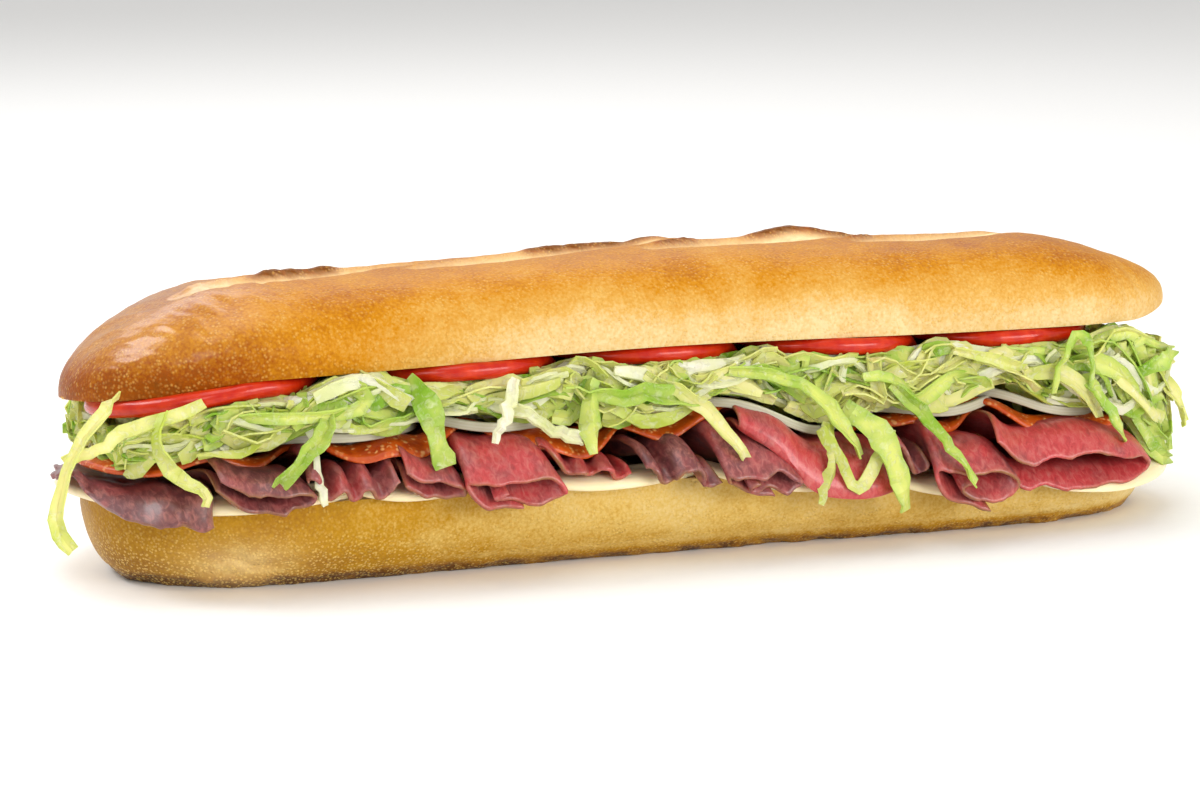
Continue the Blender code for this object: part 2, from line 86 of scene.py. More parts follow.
HEEL_LIFT = 7  # how far its left underside is raised
HEEL_OVERRUN = 5  # how much of the full section is cut off flat below
HEEL_SQUARENESS = 2.6
HEEL_PROFILE_END = 22
HEEL_BLUNT_END = 10
TORN_PLACE, TORN_SIZE = (-119, 7), (13, 6)  # along the roll and up
CROWN_STATIONS, HEEL_STATIONS = 400, 340  # sections along the roll
CRUST_SHARP = 60  # angle in degrees past which an edge is drawn sharp
SLASHES = [-88, -25, 40, 101]  # the middle of each slash along the roll
SLASH_HALF_LENGTH = 43
SLASH_HALF_WIDTH = 7
SLASH_ANGLE = math.radians(13)
EARS = [(-105, -80), (-28, 1), (3, 19), (35, 69)]  # where the lifted lip of a slash crisped and browned

# The fillings, in millimetres.
CHEESE = [(-111, 4), (-73, 2), (-26, -0.3), (26, 0.4), (77, 0.5), (112, -0.1)]
CHEESE_RADIUS, CHEESE_THICKNESS = 45, 2.2
PEPPERONI = [(-124, -7), (-82, -13), (-38, -13), (-4, -10), (34, -7), (69, -9), (107, -14)]
PEPPERONI_RADIUS, PEPPERONI_THICKNESS = 29, 1.6
TOMATO = [(-121, -9), (-58, -9.9), (-5, -7.8), (47, -9.6), (98, -9.3)]
TOMATO_RADIUS, TOMATO_THICKNESS = 30, 4.6
ONION_BAND = 3.0
ONION = [  # middle of the ring, its radius, middle and sweep of the arc in degrees
    (-92, -12, 26, -90, 190),
    (-53, -14.5, 25, -85, 150),
    (-8, 14, 25, 90, 200),
    (24, -16, 26, -95, 180),
    (72, -15.5, 24, -85, 190),
    (104, -10.5, 27, -100, 170),
]
ONION_BEND = 31  # over how many of a band's sixty steps it evens out what it lies on
# Folds of beef: left, right, reach past the bread, height, form, flare at the mouth, lean, tone from 0 to 1.
BEEF = [
    (-159, -128, 11, 7.5, "draped", 0.0, -1, 0.0),
    (-130, -107, 8, 7.5, "lapped", 0.1, 3, 0.15),
    (-106, -83, 8, 8.0, "ruffled", 0.1, 1, 0.35),
    (-82, -67, 8, 7.0, "lapped", 0.1, 2, 0.6),
    (-66, -44, 11.5, 9.5, "rolled", 0.3, 3, 0.85),
    (-43, -20, 6, 5.0, "ruffled", 0.1, 0, 0.9),
    (-19, 1, 9.5, 9.0, "ruffled", 0.15, 4, 0.15),
    (2, 23, 11, 9.5, "rolled", 0.12, 5, 0.3),
    (20, 54, 11.0, 8.0, "bent", 0.0, 0, 0.95),
    (53, 64, 8, 7.0, "ruffled", 0.2, 2, 0.2),
    (65, 84, 12.5, 10.5, "rolled", 0.4, 4, 0.8),
    (85, 133, 10, 12.5, "lapped", 0.05, 0, 1.0),
]
BEEF_THICKNESS = 1.3
BENT_LEFT, BENT_RIGHT, BENT_DEPTH = 8, 4, 38  # how far the bent fold goes past its own place
FORMS = {  # centre line of a fold's section, across and up, as shares of its width and height
    "draped": [
        (0.05, 0.75), (0.0, 1.0), (0.1, 0.95), (0.2, 0.4), (0.45, 0.08), (0.68, 0.3), (0.84, 0.12), (1, 0.5),
    ],
    "lapped": [
        (0, 0.05), (0.4, 0), (0.8, 0.02), (0.98, 0.25), (0.99, 0.6), (0.85, 0.9), (0.55, 1), (0.25, 0.93),
        (0, 0.8),
    ],
    "rolled": [
        (0.62, 0.0), (0.25, 0.04), (0.02, 0.38), (0.1, 0.8), (0.45, 1.0), (0.85, 0.88), (1.0, 0.5),
        (0.85, 0.18), (0.55, 0.2), (0.3, 0.42), (0.42, 0.68),
    ],
    "bent": [
        (-1.2, 0.1), (-0.5, 0.02), (0.3, 0.0), (0.8, 0.06), (1, 0.4), (0.93, 0.8), (0.6, 1), (0, 1),
        (-0.8, 0.95),
    ],
}

SHRED_STEPS = 13  # places along each shred
SHRED_ROOM = 0.8  # between a shred's middle and what it lies on
# Shreds of lettuce that stand out from the heap: kind, width, twist in degrees, and the points they pass.
LOOSE_SHREDS = [
    ("heart", 5.0, 20, [
        (-150, -30, 52), (-157, -42, 50), (-164, -43, 42), (-168, -43, 32), (-169, -42, 23), (-165, -42, 17),
    ]),
    ("heart", 5.0, 30, [(-130, -38, 50), (-149, -41, 46), (-158, -42, 42), (-166, -40, 39)]),
    ("heart", 5.5, 70, [(-141, -42, 50), (-144, -45, 43), (-141, -46, 36), (-134, -46, 31), (-131, -44, 26)]),
    ("leaf", 6.0, 30, [(-97, -40, 48), (-101, -44, 42), (-107, -46, 36), (-114, -45, 29)]),
    ("rib", 3.0, 20, [(-103, -38, 46), (-103, -44, 38), (-103, -46, 31), (-101, -45, 24)]),
    ("leaf", 9.0, 25, [(-77, -40, 53), (-74, -45, 47), (-72, -46, 40), (-69, -45, 31)]),
    ("rib", 4.0, 40, [(-50, -42, 52), (-53, -46, 44), (-57, -46, 37)]),
    ("rib", 4.5, 15, [(-56, -40, 46), (-47, -44, 43), (-38, -45, 38), (-31, -44, 35)]),
    ("leaf", 6.5, 60, [(-36, -41, 49), (-24, -44, 46), (-12, -44, 46), (1, -43, 42)]),
    ("heart", 5.0, 25, [(-14, -41, 50), (-2, -45, 44), (7, -47, 35), (12, -47, 27), (17, -46, 20)]),
    ("leaf", 5.5, 30, [(10, -41, 50), (24, -45, 48), (34, -46, 42), (40, -47, 34), (45, -46, 26)]),
    ("heart", 4.5, 20, [(36, -46, 36), (36, -49, 26), (33, -49, 14)]),
    ("heart", 5.0, 55, [(34, -46, 34), (38, -50, 26), (43, -50, 18), (49, -49, 25), (54, -46, 32)]),
    ("leaf", 10.0, 20, [(42, -43, 38), (49, -48, 33), (54, -51, 22), (57, -50, 11)]),
    ("leaf", 5.0, 50, [(56, -42, 44), (65, -47, 34), (71, -52, 25), (75, -54, 18)]),
    ("leaf", 4.5, 40, [(104, -42, 38), (106, -45, 48), (110, -46, 54), (114, -45, 48), (116, -42, 38)]),
    ("leaf", 5.5, 30, [(114, -41, 42), (119, -45, 34), (125, -45, 24)]),
    ("leaf", 7.0, 35, [(-28, -41, 50), (-30, -45, 42), (-29, -46, 32)]),
    ("leaf", 6.0, 45, [(126, -33, 37), (135, -36, 41), (142, -36, 44), (147, -30, 45)]),
    ("heart", 6.0, 20, [(143, -28, 38), (148, -31, 32), (151, -30, 24)]),
]
KINDS = ("leaf", "heart", "rib")
KIND_SHARES = (0.3, 0.5, 0.2)
KIND_CRISPNESS = {"leaf": 0.8, "heart": 0.8, "rib": 0.2}
KIND_THICKNESS = {"leaf": 0.5, "heart": 0.5, "rib": 0.9}
LOOSE_NARROWING = 0.66  # a loose shred dries and curls in to this share of its width

# The stage. Lamps: place, width and depth in metres, watts, colour.
LAMPS = [
    ((-0.68, 0.26, 0.7), 0.42, 0.3, 3.4, "#FFFFFF"),
    ((-0.6, -0.7, 0.45), 0.4, 0.3, 1.4, "#FFFFFF"),
    ((0.5, -0.95, 0.3), 0.8, 0.4, 7.6, "#FFFDFA"),
    ((-0.1, 0.05, 1.0), 1.2, 0.5, 4.4, "#FFFFFF"),
    ((0.1, 1.0, 0.8), 1.2, 0.5, 3.8, "#FFFFFF"),
]
SKY_STRENGTH = 0.68
FLOOR_SIDES = 96
FLOOR_FLAT, FLOOR_CURVE = 2.4, 1.2  # metres: the flat floor's radius, and the radius of the curve round it
CAMERA_AZIMUTH, CAMERA_ELEVATION = math.radians(-22), math.radians(10.5)
CAMERA_DISTANCE = 1.1
CAMERA_TARGET = np.array([-6, 0, 35]) * MM


def linear(code):
    """Scene-linear RGBA from an sRGB hex code: each channel above 0.04045 is ((c + 0.055) / 1.055) ** 2.4."""
    channels = [int(code[k : k + 2], 16) / 255 for k in (1, 3, 5)]
    return tuple(c / 12.92 if c <= 0.04045 else ((c + 0.055) / 1.055) ** 2.4 for c in channels) + (1.0,)


# ---------------------------------------------------------------- what a user can change


def colour_property(name, description, code):
    """A colour that a user can change, given as an sRGB hex code."""
    return bpy.props.FloatVectorProperty(
        name=name, description=description, default=linear(code), subtype="COLOR", size=4, min=0, max=1
    )


class RollSettings(bpy.types.PropertyGroup):
    """Colours of the roll"""

    pale: colour_property("Pale crust", "Crust that saw least heat, near the cut", "#DAC08E")
    golden: colour_property("Golden crust", "Crust over most of the roll", "#BA7A12")
    brown: colour_property("Brown crust", "Crust at the hottest end", "#8E4405")
    toasted: colour_property("Toasted crust", "Lifted edges of the slashes", "#6E3D10")
    flour: colour_property("Floured score", "Pale skin inside the slashes", "#F4D6A2")
    crumb: colour_property("Crumb", "Soft inside of the roll", "#EAD2A2")


class FillingSettings(bpy.types.PropertyGroup):
    """Colours of the fillings, and how much lettuce there is"""

    cheese: colour_property("Cheese", "Mild white cheese", "#F0E2BE")
    beef_rosy: colour_property("Rosy beef", "Middle of a rare slice", "#B43A3C")
    beef_grey: colour_property("Grey beef", "Slice that has dulled in air", "#6A3A3C")
    beef_edge: colour_property("Beef edge", "Roasted rim of a slice", "#8A5A30")
    pepperoni: colour_property("Pepperoni", "Paprika-red meat", "#C9560F")
    fat: colour_property("Pepperoni fat", "Flecks of fat stained by paprika", "#EBAA6A")
    onion: colour_property("Onion", "Raw white onion", "#DCD9C4")
    tomato_skin: colour_property("Tomato skin", "Ripe skin round the slice", "#B01A05")
    tomato_flesh: colour_property("Tomato flesh", "Cut face of the slice", "#C83A12")
    leaf: colour_property("Lettuce leaf", "Green edge of the leaf", "#93C22C")
    heart: colour_property("Lettuce heart", "Yellow middle of the head", "#F4EFA8")
    rib: colour_property("Lettuce rib", "White midrib", "#FAF8E6")
    shreds: bpy.props.IntProperty(
        name="Shreds", description="How many shreds are in the heap", default=1000, min=50, max=1600
    )
    shred_width: bpy.props.FloatProperty(
        name="Shred width",
        description="Width of a middling shred",
        default=0.0036,
        min=0.002,
        max=0.008,
        unit="LENGTH",
    )


class StageSettings(bpy.types.PropertyGroup):
    """Floor and light"""

    floor: colour_property("Floor", "Plain painted floor", "#F4F3F1")
    brightness: bpy.props.FloatProperty(
        name="Brightness", description="Multiplies every light", default=1.0, min=0.1, max=4, subtype="FACTOR"
    )


# ---------------------------------------------------------------- numbers


def smooth_step(value, start, length):
    """0 before start, 1 after start + length, and 3t² - 2t³ between them."""
    t = np.clip((value - start) / length, 0, 1)
    return t * t * (3 - 2 * t)


def lattice(i, j, seed):
    """A repeatable random number from 0 to 1 for each pair of whole numbers."""
    mixed = (i * 374761393 + j * 668265263 + seed * 974634777) & 0xFFFFFFFF
    mixed = ((mixed ^ (mixed >> 13)) * 1274126177) & 0xFFFFFFFF
    return ((mixed ^ (mixed >> 16)) & 0xFFFF) / 65535


def noise(x, y, size, seed, octaves=1):
    """Value noise from -1 to 1: random numbers on a square lattice of that size, blended between its corners,
    and finer copies of it at half the strength each."""
    total, weight = 0.0, 1.0
    for k in range(octaves):
        u, v = x / size * 2**k + 31.7 * k, y / size * 2**k + 17.3 * k
        i, j = np.floor(u).astype(np.int64), np.floor(v).astype(np.int64)
        s, t = smooth_step(u - i, 0, 1), smooth_step(v - j, 0, 1)
        low = lattice(i, j, seed + k) * (1 - s) + lattice(i + 1, j, seed + k) * s
        high = lattice(i, j + 1, seed + k) * (1 - s) + lattice(i + 1, j + 1, seed + k) * s
        total = total + weight * (2 * (low * (1 - t) + high * t) - 1)
        weight /= 2
    return total / (2 - 2 * weight)


def through(points, count):
    """A smooth curve through points: Catmull-Rom, a cubic whose slope at each point is half the step between
    its neighbours."""
    points = np.array(points, float)
    ends = np.concatenate([[2 * points[0] - points[1]], points, [2 * points[-1] - points[-2]]])
    t = np.linspace(0, len(points) - 1, count)
    k = np.minimum(t.astype(int), len(points) - 2)
    t = (t - k)[:, None]
    a, b, c, d = ends[k], ends[k + 1], ends[k + 2], ends[k + 3]
    return b + 0.5 * t * (c - a + t * (2 * a - 5 * b + 4 * c - d + t * (3 * (b - c) + d - a)))


def edged(count, inset):
    """Shares from 0 to 1, with extra ones close to both ends so that a rim can be rounded there."""
    near = inset * np.array([0, 0.12, 0.45, 1])
    return np.concatenate([near[:-1], np.linspace(inset, 1 - inset, count), 1 - near[-2::-1]])


def superellipse(angle, power):
    """Cosine and sine, each raised to 2 / power, which squares the circle off a little."""
    c, s = np.cos(angle), np.sin(angle)
    return np.sign(c) * np.abs(c) ** (2 / power), np.sign(s) * np.abs(s) ** (2 / power)


# ---------------------------------------------------------------- the roll's own shape


def end_taper(x, end_length, half_length=HALF_LENGTH):
    """1 along the straight part, and down to 0 at the tips as a quarter ellipse."""
    into = np.clip((np.abs(x) - (half_length - end_length)) / end_length, 0, 1)
    return np.sqrt(1 - into**2)


def outside_heel(x, y):
    """How far a point lies outside the heel's outline, seen from above."""
    past = np.maximum(np.abs(x) - (HEEL_HALF_LENGTH - PLAN_END), 0)
    return np.hypot(past * HALF_WIDTH / PLAN_END, y) - HALF_WIDTH


def dish(x, y):
    """1 in the middle of the plan and 0 near its outline."""
    share = (outside_heel(x, y) + HALF_WIDTH) / HALF_WIDTH
    return np.clip(1 - 1.3 * share**2, 0, 1)


def heel_rim(x):
    """Height of the heel's upper edge, which falls to the right as a smooth step."""
    return HEEL_HEIGHT - HEEL_FALL * smooth_step(x, -30, 130)


def heel_cut(x, y):
    """Height of the heel's cut face: it is pressed in at its middle."""
    return heel_rim(x) - HEEL_HOLLOW * dish(x, y)


def filling_floor(x, y):
    """The heel's cut face, carried on past the bread as a parabola and then a straight slope."""
    beyond = np.maximum(outside_heel(x, y), 0)
    near = np.minimum(beyond, 10)
    return heel_cut(x, y) - 0.05 * near**2 - (beyond - near)


def crown_edge(x, y):
    """Height of the crown's lower edge: tilted up at the front, arched along its length, with its left tip
    drooping and its right tip turned up."""
    arch = CROWN_ARCH * np.exp(-(((x + 8) / 70) ** 2))
    tips = CROWN_TIP * (smooth_step(x, 132, 30) - smooth_step(-x, 112, 44))
    return CROWN_EDGE + arch - (y + HALF_WIDTH) * math.tan(CROWN_TILT) + tips


def crown_cut(x, y):
    """Height of the crown's cut face: it is hollowed upwards at its middle."""
    return crown_edge(x, y) + CROWN_HOLLOW * dish(x, y)


def stations(count, half_length=HALF_LENGTH):
    """Places along X from tip to tip, closer together towards the tips: 1 - (1 - |t|) ** 1.7."""
    t = np.linspace(-1, 1, count)
    return half_length * np.sign(t) * (1 - (1 - np.abs(t)) ** 1.7) * 0.9995


# ---------------------------------------------------------------- the stack


class Map:
    """Heights of what has been laid, above a floor or below a ceiling, on a 1 mm grid over the plan."""

    half_x, half_y = 190, 75

    def __init__(self, base):
        self.base = base
        x, y = np.arange(-self.half_x, self.half_x + 1), np.arange(-self.half_y, self.half_y + 1)
        self.x, self.y = np.meshgrid(x, y, indexing="ij")
        self.z = np.zeros(self.x.shape)
        self.beds = {}

    def settled(self, reach=3):
        """The heights as a limp slice meets them: the highest within reach, then twice the average."""
        z = self.z
        shifts = range(-reach, reach + 1)
        for gather in (np.max, np.mean, np.mean):
            for axis in (0, 1):
                z = gather([np.roll(z, k, axis) for k in shifts], axis=0)
        return z

    def lay(self, name, inside, thickness, reach=3):
        """Lays a slice of that thickness where inside is true, and keeps the bed that it lies on."""
        bed = self.beds[name] = self.settled(reach)
        self.z = np.where(inside, np.maximum(self.z, bed + thickness), self.z)

    def sample(self, grid, x, y):
        """The grid's value between its points."""
        u = np.clip(x + self.half_x, 0, 2 * self.half_x - 0.001)
        v = np.clip(y + self.half_y, 0, 2 * self.half_y - 0.001)
        i, j = u.astype(int), v.astype(int)
        s, t = u - i, v - j
        low = grid[i, j] * (1 - t) + grid[i, j + 1] * t
        return low * (1 - s) + (grid[i + 1, j] * (1 - t) + grid[i + 1, j + 1] * t) * s

    def height(self, name, x, y, sign=1):
        """Height of the bed that a slice lies on; sign is -1 below a ceiling."""
        return self.base(x, y) + sign * self.sample(self.beds[name], x, y)


def fold_line(x, reach, share):
    """Y at a share of the way from a fold's mouth to its back, both of which follow the bread's edge."""
    edge = HALF_WIDTH * end_taper(x, PLAN_END)
    return (edge + 6) * share - (edge + reach) * (1 - share)


def fullness(share, height):
    """How much of its height a fold keeps towards its back."""
    return 1 - (1 - max(0.3, 2.6 / height)) * share


def lay_stack():
    """Both maps, with every slice laid in order."""
    floor, ceiling = Map(filling_floor), Map(crown_cut)
    for k, (x, y) in enumerate(CHEESE):
        inside = np.hypot(floor.x - x, floor.y - y) < CHEESE_RADIUS
        floor.lay(f"cheese_{k + 1}", inside, CHEESE_THICKNESS)
    for k, (left, right, reach, height, form, *_) in enumerate(BEEF):
        front, back = (fold_line(floor.x, reach, end) for end in (0, 1))
        if form == "bent":
            left, right, back = left - BENT_LEFT, right + BENT_RIGHT, front + BENT_DEPTH
        share = np.clip((floor.y - front) / (back - front), 0, 1)
        inside = (floor.x > left) & (floor.x < right) & (floor.y > front) & (floor.y < back)
        floor.lay(f"beef_{k + 1}", inside, 0.95 * height * fullness(share, height), 4)
    for k, (x, y) in enumerate(PEPPERONI):
        inside = np.hypot(floor.x - x, floor.y - y) < PEPPERONI_RADIUS
        floor.lay(f"pepperoni_{k + 1}", inside, PEPPERONI_THICKNESS, 4)
    for k, (x, y, radius, middle, swept) in enumerate(ONION):
        away = np.hypot(floor.x - x, floor.y - y)
        turn = np.degrees(np.arctan2(floor.y - y, floor.x - x)) - middle
        inside = np.abs(away - radius + ONION_BAND / 2) < 2
        inside = inside & (np.abs((turn + 180) % 360 - 180) < swept / 2)
        floor.lay(f"onion_{k + 1}", inside, ONION_BAND)
    floor.beds["lettuce"] = floor.settled(4)
    for k in reversed(range(len(TOMATO))):
        x, y = TOMATO[k]
        inside = np.hypot(ceiling.x - x, ceiling.y - y) < TOMATO_RADIUS
        ceiling.lay(f"tomato_{k + 1}", inside, TOMATO_THICKNESS)
    ceiling.beds["lettuce"] = ceiling.settled(3)
    return floor, ceiling


FLOOR, CEILING = lay_stack()


# ---------------------------------------------------------------- meshes


def grid_quads(rows, columns, wrap=False):
    """Quads between the points of a grid numbered row by row; wrap joins its last column to its first."""
    row = np.arange(rows - 1)[:, None] * columns
    here = np.arange(columns if wrap else columns - 1)[None, :]
    after = (here + 1) % columns
    corners = [row + here, row + after, row + columns + after, row + columns + here]
    return np.stack(corners, axis=-1).reshape(-1, 4)


def skin(loops):
    """Points and faces of a surface through closed loops, whose first and last loop are each closed by a fan
    of triangles to their middle."""
    rows, columns = loops.shape[:2]
    points = np.concatenate([loops.reshape(-1, 3), loops[[0, -1]].mean(axis=1)])
    ring = np.arange(columns)
    after = (ring + 1) % columns
    first, last = np.full(columns, rows * columns), np.full(columns, rows * columns + 1)
    far = (rows - 1) * columns
    fans = [np.stack([after, ring, first], axis=1), np.stack([ring + far, after + far, last], axis=1)]
    return points, [grid_quads(rows, columns, True)] + fans


def shells(middle, thickness):
    """Points and faces of thin closed shells. middle holds sheets as (sheet, row, column, xyz). Each sheet is
    offset by half the thickness along its normal, both ways, and a band of quads closes its rim."""
    count, rows, columns = middle.shape[:3]
    normal = np.cross(np.gradient(middle, axis=2), np.gradient(middle, axis=1))
    normal /= np.linalg.norm(normal, axis=-1, keepdims=True) + 1e-9
    offset = normal * np.broadcast_to(thickness, middle.shape[:3])[..., None] / 2
    points = np.stack([middle + offset, middle - offset], axis=1).reshape(-1, 3)
    size = rows * columns
    number = np.arange(size).reshape(rows, columns)
    ring = np.concatenate([number[0, :-1], number[:-1, -1], number[-1, :0:-1], number[:0:-1, 0]])
    after = np.roll(ring, -1)
    top = grid_quads(rows, columns)
    rim = np.stack([after, ring, ring + size, after + size], axis=1)
    faces = np.concatenate([top, top[:, ::-1] + size, rim])
    return points, [(faces[None] + 2 * size * np.arange(count)[:, None, None]).reshape(-1, 4)]


def make(name, points, faces, materials, slot, node, face_material=None, sharp=50, **fields):
    """The finished object, which stands for a CAD node. Faces are turned outwards by the sign of the volume,
    edges past the sharp angle are kept sharp, and named fields are stored on the points."""
    fans = [part[:, [0, k, k + 1]] for part in faces for k in range(1, part.shape[1] - 1)]
    corners = points[np.concatenate(fans)]
    if np.einsum("ij,ij->", corners[:, 0], np.cross(corners[:, 1], corners[:, 2])) < 0:
        faces = [part[:, ::-1] for part in faces]
    sizes = np.concatenate([np.full(len(part), part.shape[1]) for part in faces])
    mesh = bpy.data.meshes.new(name)
    mesh.vertices.add(len(points))
    mesh.vertices.foreach_set("co", (points * MM + SHIFT).ravel())
    mesh.loops.add(int(sizes.sum()))
    mesh.loops.foreach_set("vertex_index", np.concatenate([part.ravel() for part in faces]))
    mesh.polygons.add(len(sizes))
    mesh.polygons.foreach_set("loop_start", np.concatenate([[0], np.cumsum(sizes)[:-1]]))
    for material in materials:
        mesh.materials.append(material)
    if face_material is not None:
        mesh.polygons.foreach_set("material_index", face_material)
    mesh.update(calc_edges=True)
    if mesh.validate():
        raise RuntimeError(f"{name} has faces that don't hold together")
    for field, values in fields.items():
        stored = mesh.attributes.new(field, "FLOAT", "POINT")
        stored.data.foreach_set("value", np.ascontiguousarray(values, np.float32).ravel())
    mesh.shade_smooth()
    mesh.set_sharp_from_angle(angle=math.radians(sharp))
    piece = bpy.data.objects.new(name, mesh)
    bpy.context.scene.collection.objects.link(piece)
    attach(piece, "root")
    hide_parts(node)


def round_slice(name, centre, radius, thickness, level, sign, seed, material, slot, node, around=120):
    """A round slice: its profile runs from the middle of one face out over the rounded rim to the middle of
    the other, and is turned through a circle whose radius wavers by two sines. level gives the height under
    it."""
    rings = 26  # across each face
    turn = np.linspace(0, 2 * math.pi, around, endpoint=False)
    rim = radius * (1 + 0.02 * np.sin(2 * turn + seed) + 0.012 * np.sin(3 * turn + 2 * seed))
    rim = rim + 0.25 * noise(np.cos(turn) * 20, np.sin(turn) * 20, 6, seed)
    out = 1 - (1 - np.linspace(0.02, 1, rings)) ** 1.5
    bulge = np.linspace(-math.pi / 2, math.pi / 2, 7)[1:-1]
    inset = thickness / 2 / radius
    share = np.concatenate([out * (1 - inset), 1 - inset + inset * np.cos(bulge), out[::-1] * (1 - inset)])
    up = np.concatenate([np.zeros(rings), thickness / 2 * (1 + np.sin(bulge)), np.full(rings, thickness)])
    x = centre[0] + share[:, None] * (rim * np.cos(turn))[None, :]
    y = centre[1] + share[:, None] * (rim * np.sin(turn))[None, :]
    z = level(x, y) + sign * up[:, None]
    points, faces = skin(np.stack([x, y, z], axis=-1))
    edge = np.broadcast_to(share[:, None], x.shape).ravel()
    make(name, points, faces, [material], slot, node, edge=np.concatenate([edge, [0, 0]]))


# ---------------------------------------------------------------- materials


def add(tree, kind, inputs=None, out=0, stops=(), **settings):
    """Adds a shader node and returns one of its outputs. settings are the node's own attributes, inputs gives
    a socket a value or another node's output, and stops are the positions and colours of a ramp."""
    made = tree.nodes.new("ShaderNode" + kind)
    for key, value in settings.items():
        setattr(made, key, value)
    for key, value in (inputs or {}).items():
        if isinstance(value, bpy.types.NodeSocket):
            tree.links.new(value, made.inputs[key])
        else:
            made.inputs[key].default_value = value
    while stops and len(made.color_ramp.elements) < len(stops):
        made.color_ramp.elements.new(1)
    for element, (position, colour) in zip(made.color_ramp.elements if stops else (), stops):
        element.position = position
        element.color = colour
    return made.outputs[out]


def new_material(name, **shader_settings):
    """A material with its Principled shader, whose sockets are set by their names."""
    made = bpy.data.materials.new(name)
    made.use_nodes = True
    tree = made.node_tree
    shader = tree.nodes["Principled BSDF"]
    for key, value in shader_settings.items():
        shader.inputs[key.replace("_", " ")].default_value = value
    return made, tree, shader


def crust_material(name, tones, flour, blister_tone_and_glint):
    """Baked wheat crust, brushed by steam: a thin gelled skin, glossy where it browned most, with fine
    blisters about a millimetre wide, paler than the skin between them, partly by their own tone and partly by
    a painted highlight on each dome, and floured skin in the slashes. The fields bake, flour, gloss and grit
    say how brown, floured, glossy and gritty each place is."""
    made, tree, shader = new_material(name, Specular_IOR_Level=0.14, Coat_Roughness=0.2)
    shader.inputs["Specular Tint"].default_value = linear("#FFD08A")
    place = add(tree, "TexCoord", out="Object")
    bake = add(tree, "Attribute", out="Fac", attribute_name="bake")
    grit = add(tree, "Attribute", out="Fac", attribute_name="grit")
    gloss = add(tree, "Attribute", out="Fac", attribute_name="gloss")
    flour_field = add(tree, "Attribute", out="Fac", attribute_name="flour")
    # Browning wanders over 6 mm and freckles over 0.9 mm.
    wander = add(tree, "TexNoise", {"Vector": place, "Scale": 1000 / 6, "Detail": 5, "Roughness": 0.68})
    freckle = add(tree, "TexNoise", {"Vector": place, "Scale": 1000 / 0.9, "Detail": 2})
    wandered = add(tree, "MapRange", {0: wander, 1: 0.3, 2: 0.7, 3: -0.06, 4: 0.06})
    freckled = add(tree, "MapRange", {0: freckle, 1: 0.3, 2: 0.7, 3: -0.08, 4: 0.08})
    uneven = add(tree, "Math", {0: bake, 1: wandered}, operation="ADD")
    baked = add(tree, "Math", {0: uneven, 1: freckled}, operation="ADD", use_clamp=True)
    stops = list(zip((0, 0.28, 0.5, 0.76, 1), tones))
    browned = add(tree, "ValToRGB", {"Fac": baked}, stops=stops)
    # Blisters: domes in clusters. Each dome is paler towards its top, partly from its own tone and partly
    # from a painted highlight.
    cells = add(tree, "TexVoronoi", {"Vector": place, "Scale": 1000 / 1.0, "Randomness": 1.0})
    dome = add(tree, "MapRange", {0: cells, 1: 0.5, 2: 0.08})
    clusters = add(tree, "TexNoise", {"Vector": place, "Scale": 1000 / 3.5, "Detail": 3, "Roughness": 0.6})
    clustered = add(tree, "MapRange", {0: clusters, 1: 0.4, 2: 0.58, 3: 0.15})
    blistered = add(tree, "Math", {0: dome, 1: clustered}, operation="MULTIPLY")
    flecks = add(tree, "Math", {0: blistered, 1: 0.5}, operation="MULTIPLY")
    skinned = add(tree, "Mix", {0: flecks, 6: browned, 7: blister_tone_and_glint}, out=2, data_type="RGBA")
    patchy = add(tree, "MapRange", {0: clusters, 1: 0.2, 2: 0.5, 3: 0.55})
    floured = add(tree, "Math", {0: flour_field, 1: patchy}, operation="MULTIPLY")
    dusted = add(tree, "Mix", {0: floured, 6: skinned, 7: flour}, out=2, data_type="RGBA")
    # Semolina stuck to the skin: a grain in each cell of 0.95 mm.
    grains = add(tree, "TexVoronoi", {"Vector": place, "Scale": 1000 / 0.95})
    grain = add(tree, "Math", {0: grains, 1: 0.34}, operation="LESS_THAN")
    stuck = add(tree, "Math", {0: grain, 1: grit}, operation="MULTIPLY")
    grains_show = add(tree, "Math", {0: stuck, 1: 0.7}, operation="MULTIPLY")
    colour = add(tree, "Mix", {0: grains_show, 6: dusted, 7: linear("#EBCB7A")}, out=2, data_type="RGBA")
    tree.links.new(colour, shader.inputs["Base Color"])
    satin = add(tree, "MapRange", {0: baked, 1: 0.1, 2: 0.9, 3: 0.55, 4: 0.36})
    roughness = add(tree, "Math", {0: floured, 1: 0.3, 2: satin}, operation="MULTIPLY_ADD")
    tree.links.new(roughness, shader.inputs["Roughness"])
    tree.links.new(gloss, shader.inputs["Coat Weight"])
    pebbled = add(tree, "TexNoise", {"Vector": place, "Scale": 1000 / 0.8, "Detail": 3})
    relief = add(tree, "Math", {0: pebbled, 1: 0.6, 2: blistered}, operation="MULTIPLY_ADD")
    relief = add(tree, "Math", {0: stuck, 1: 0.8, 2: relief}, operation="MULTIPLY_ADD")
    bump = add(tree, "Bump", {"Height": relief, "Strength": 0.7, "Distance": 0.32 * MM})
    tree.links.new(bump, shader.inputs["Normal"])
    return made


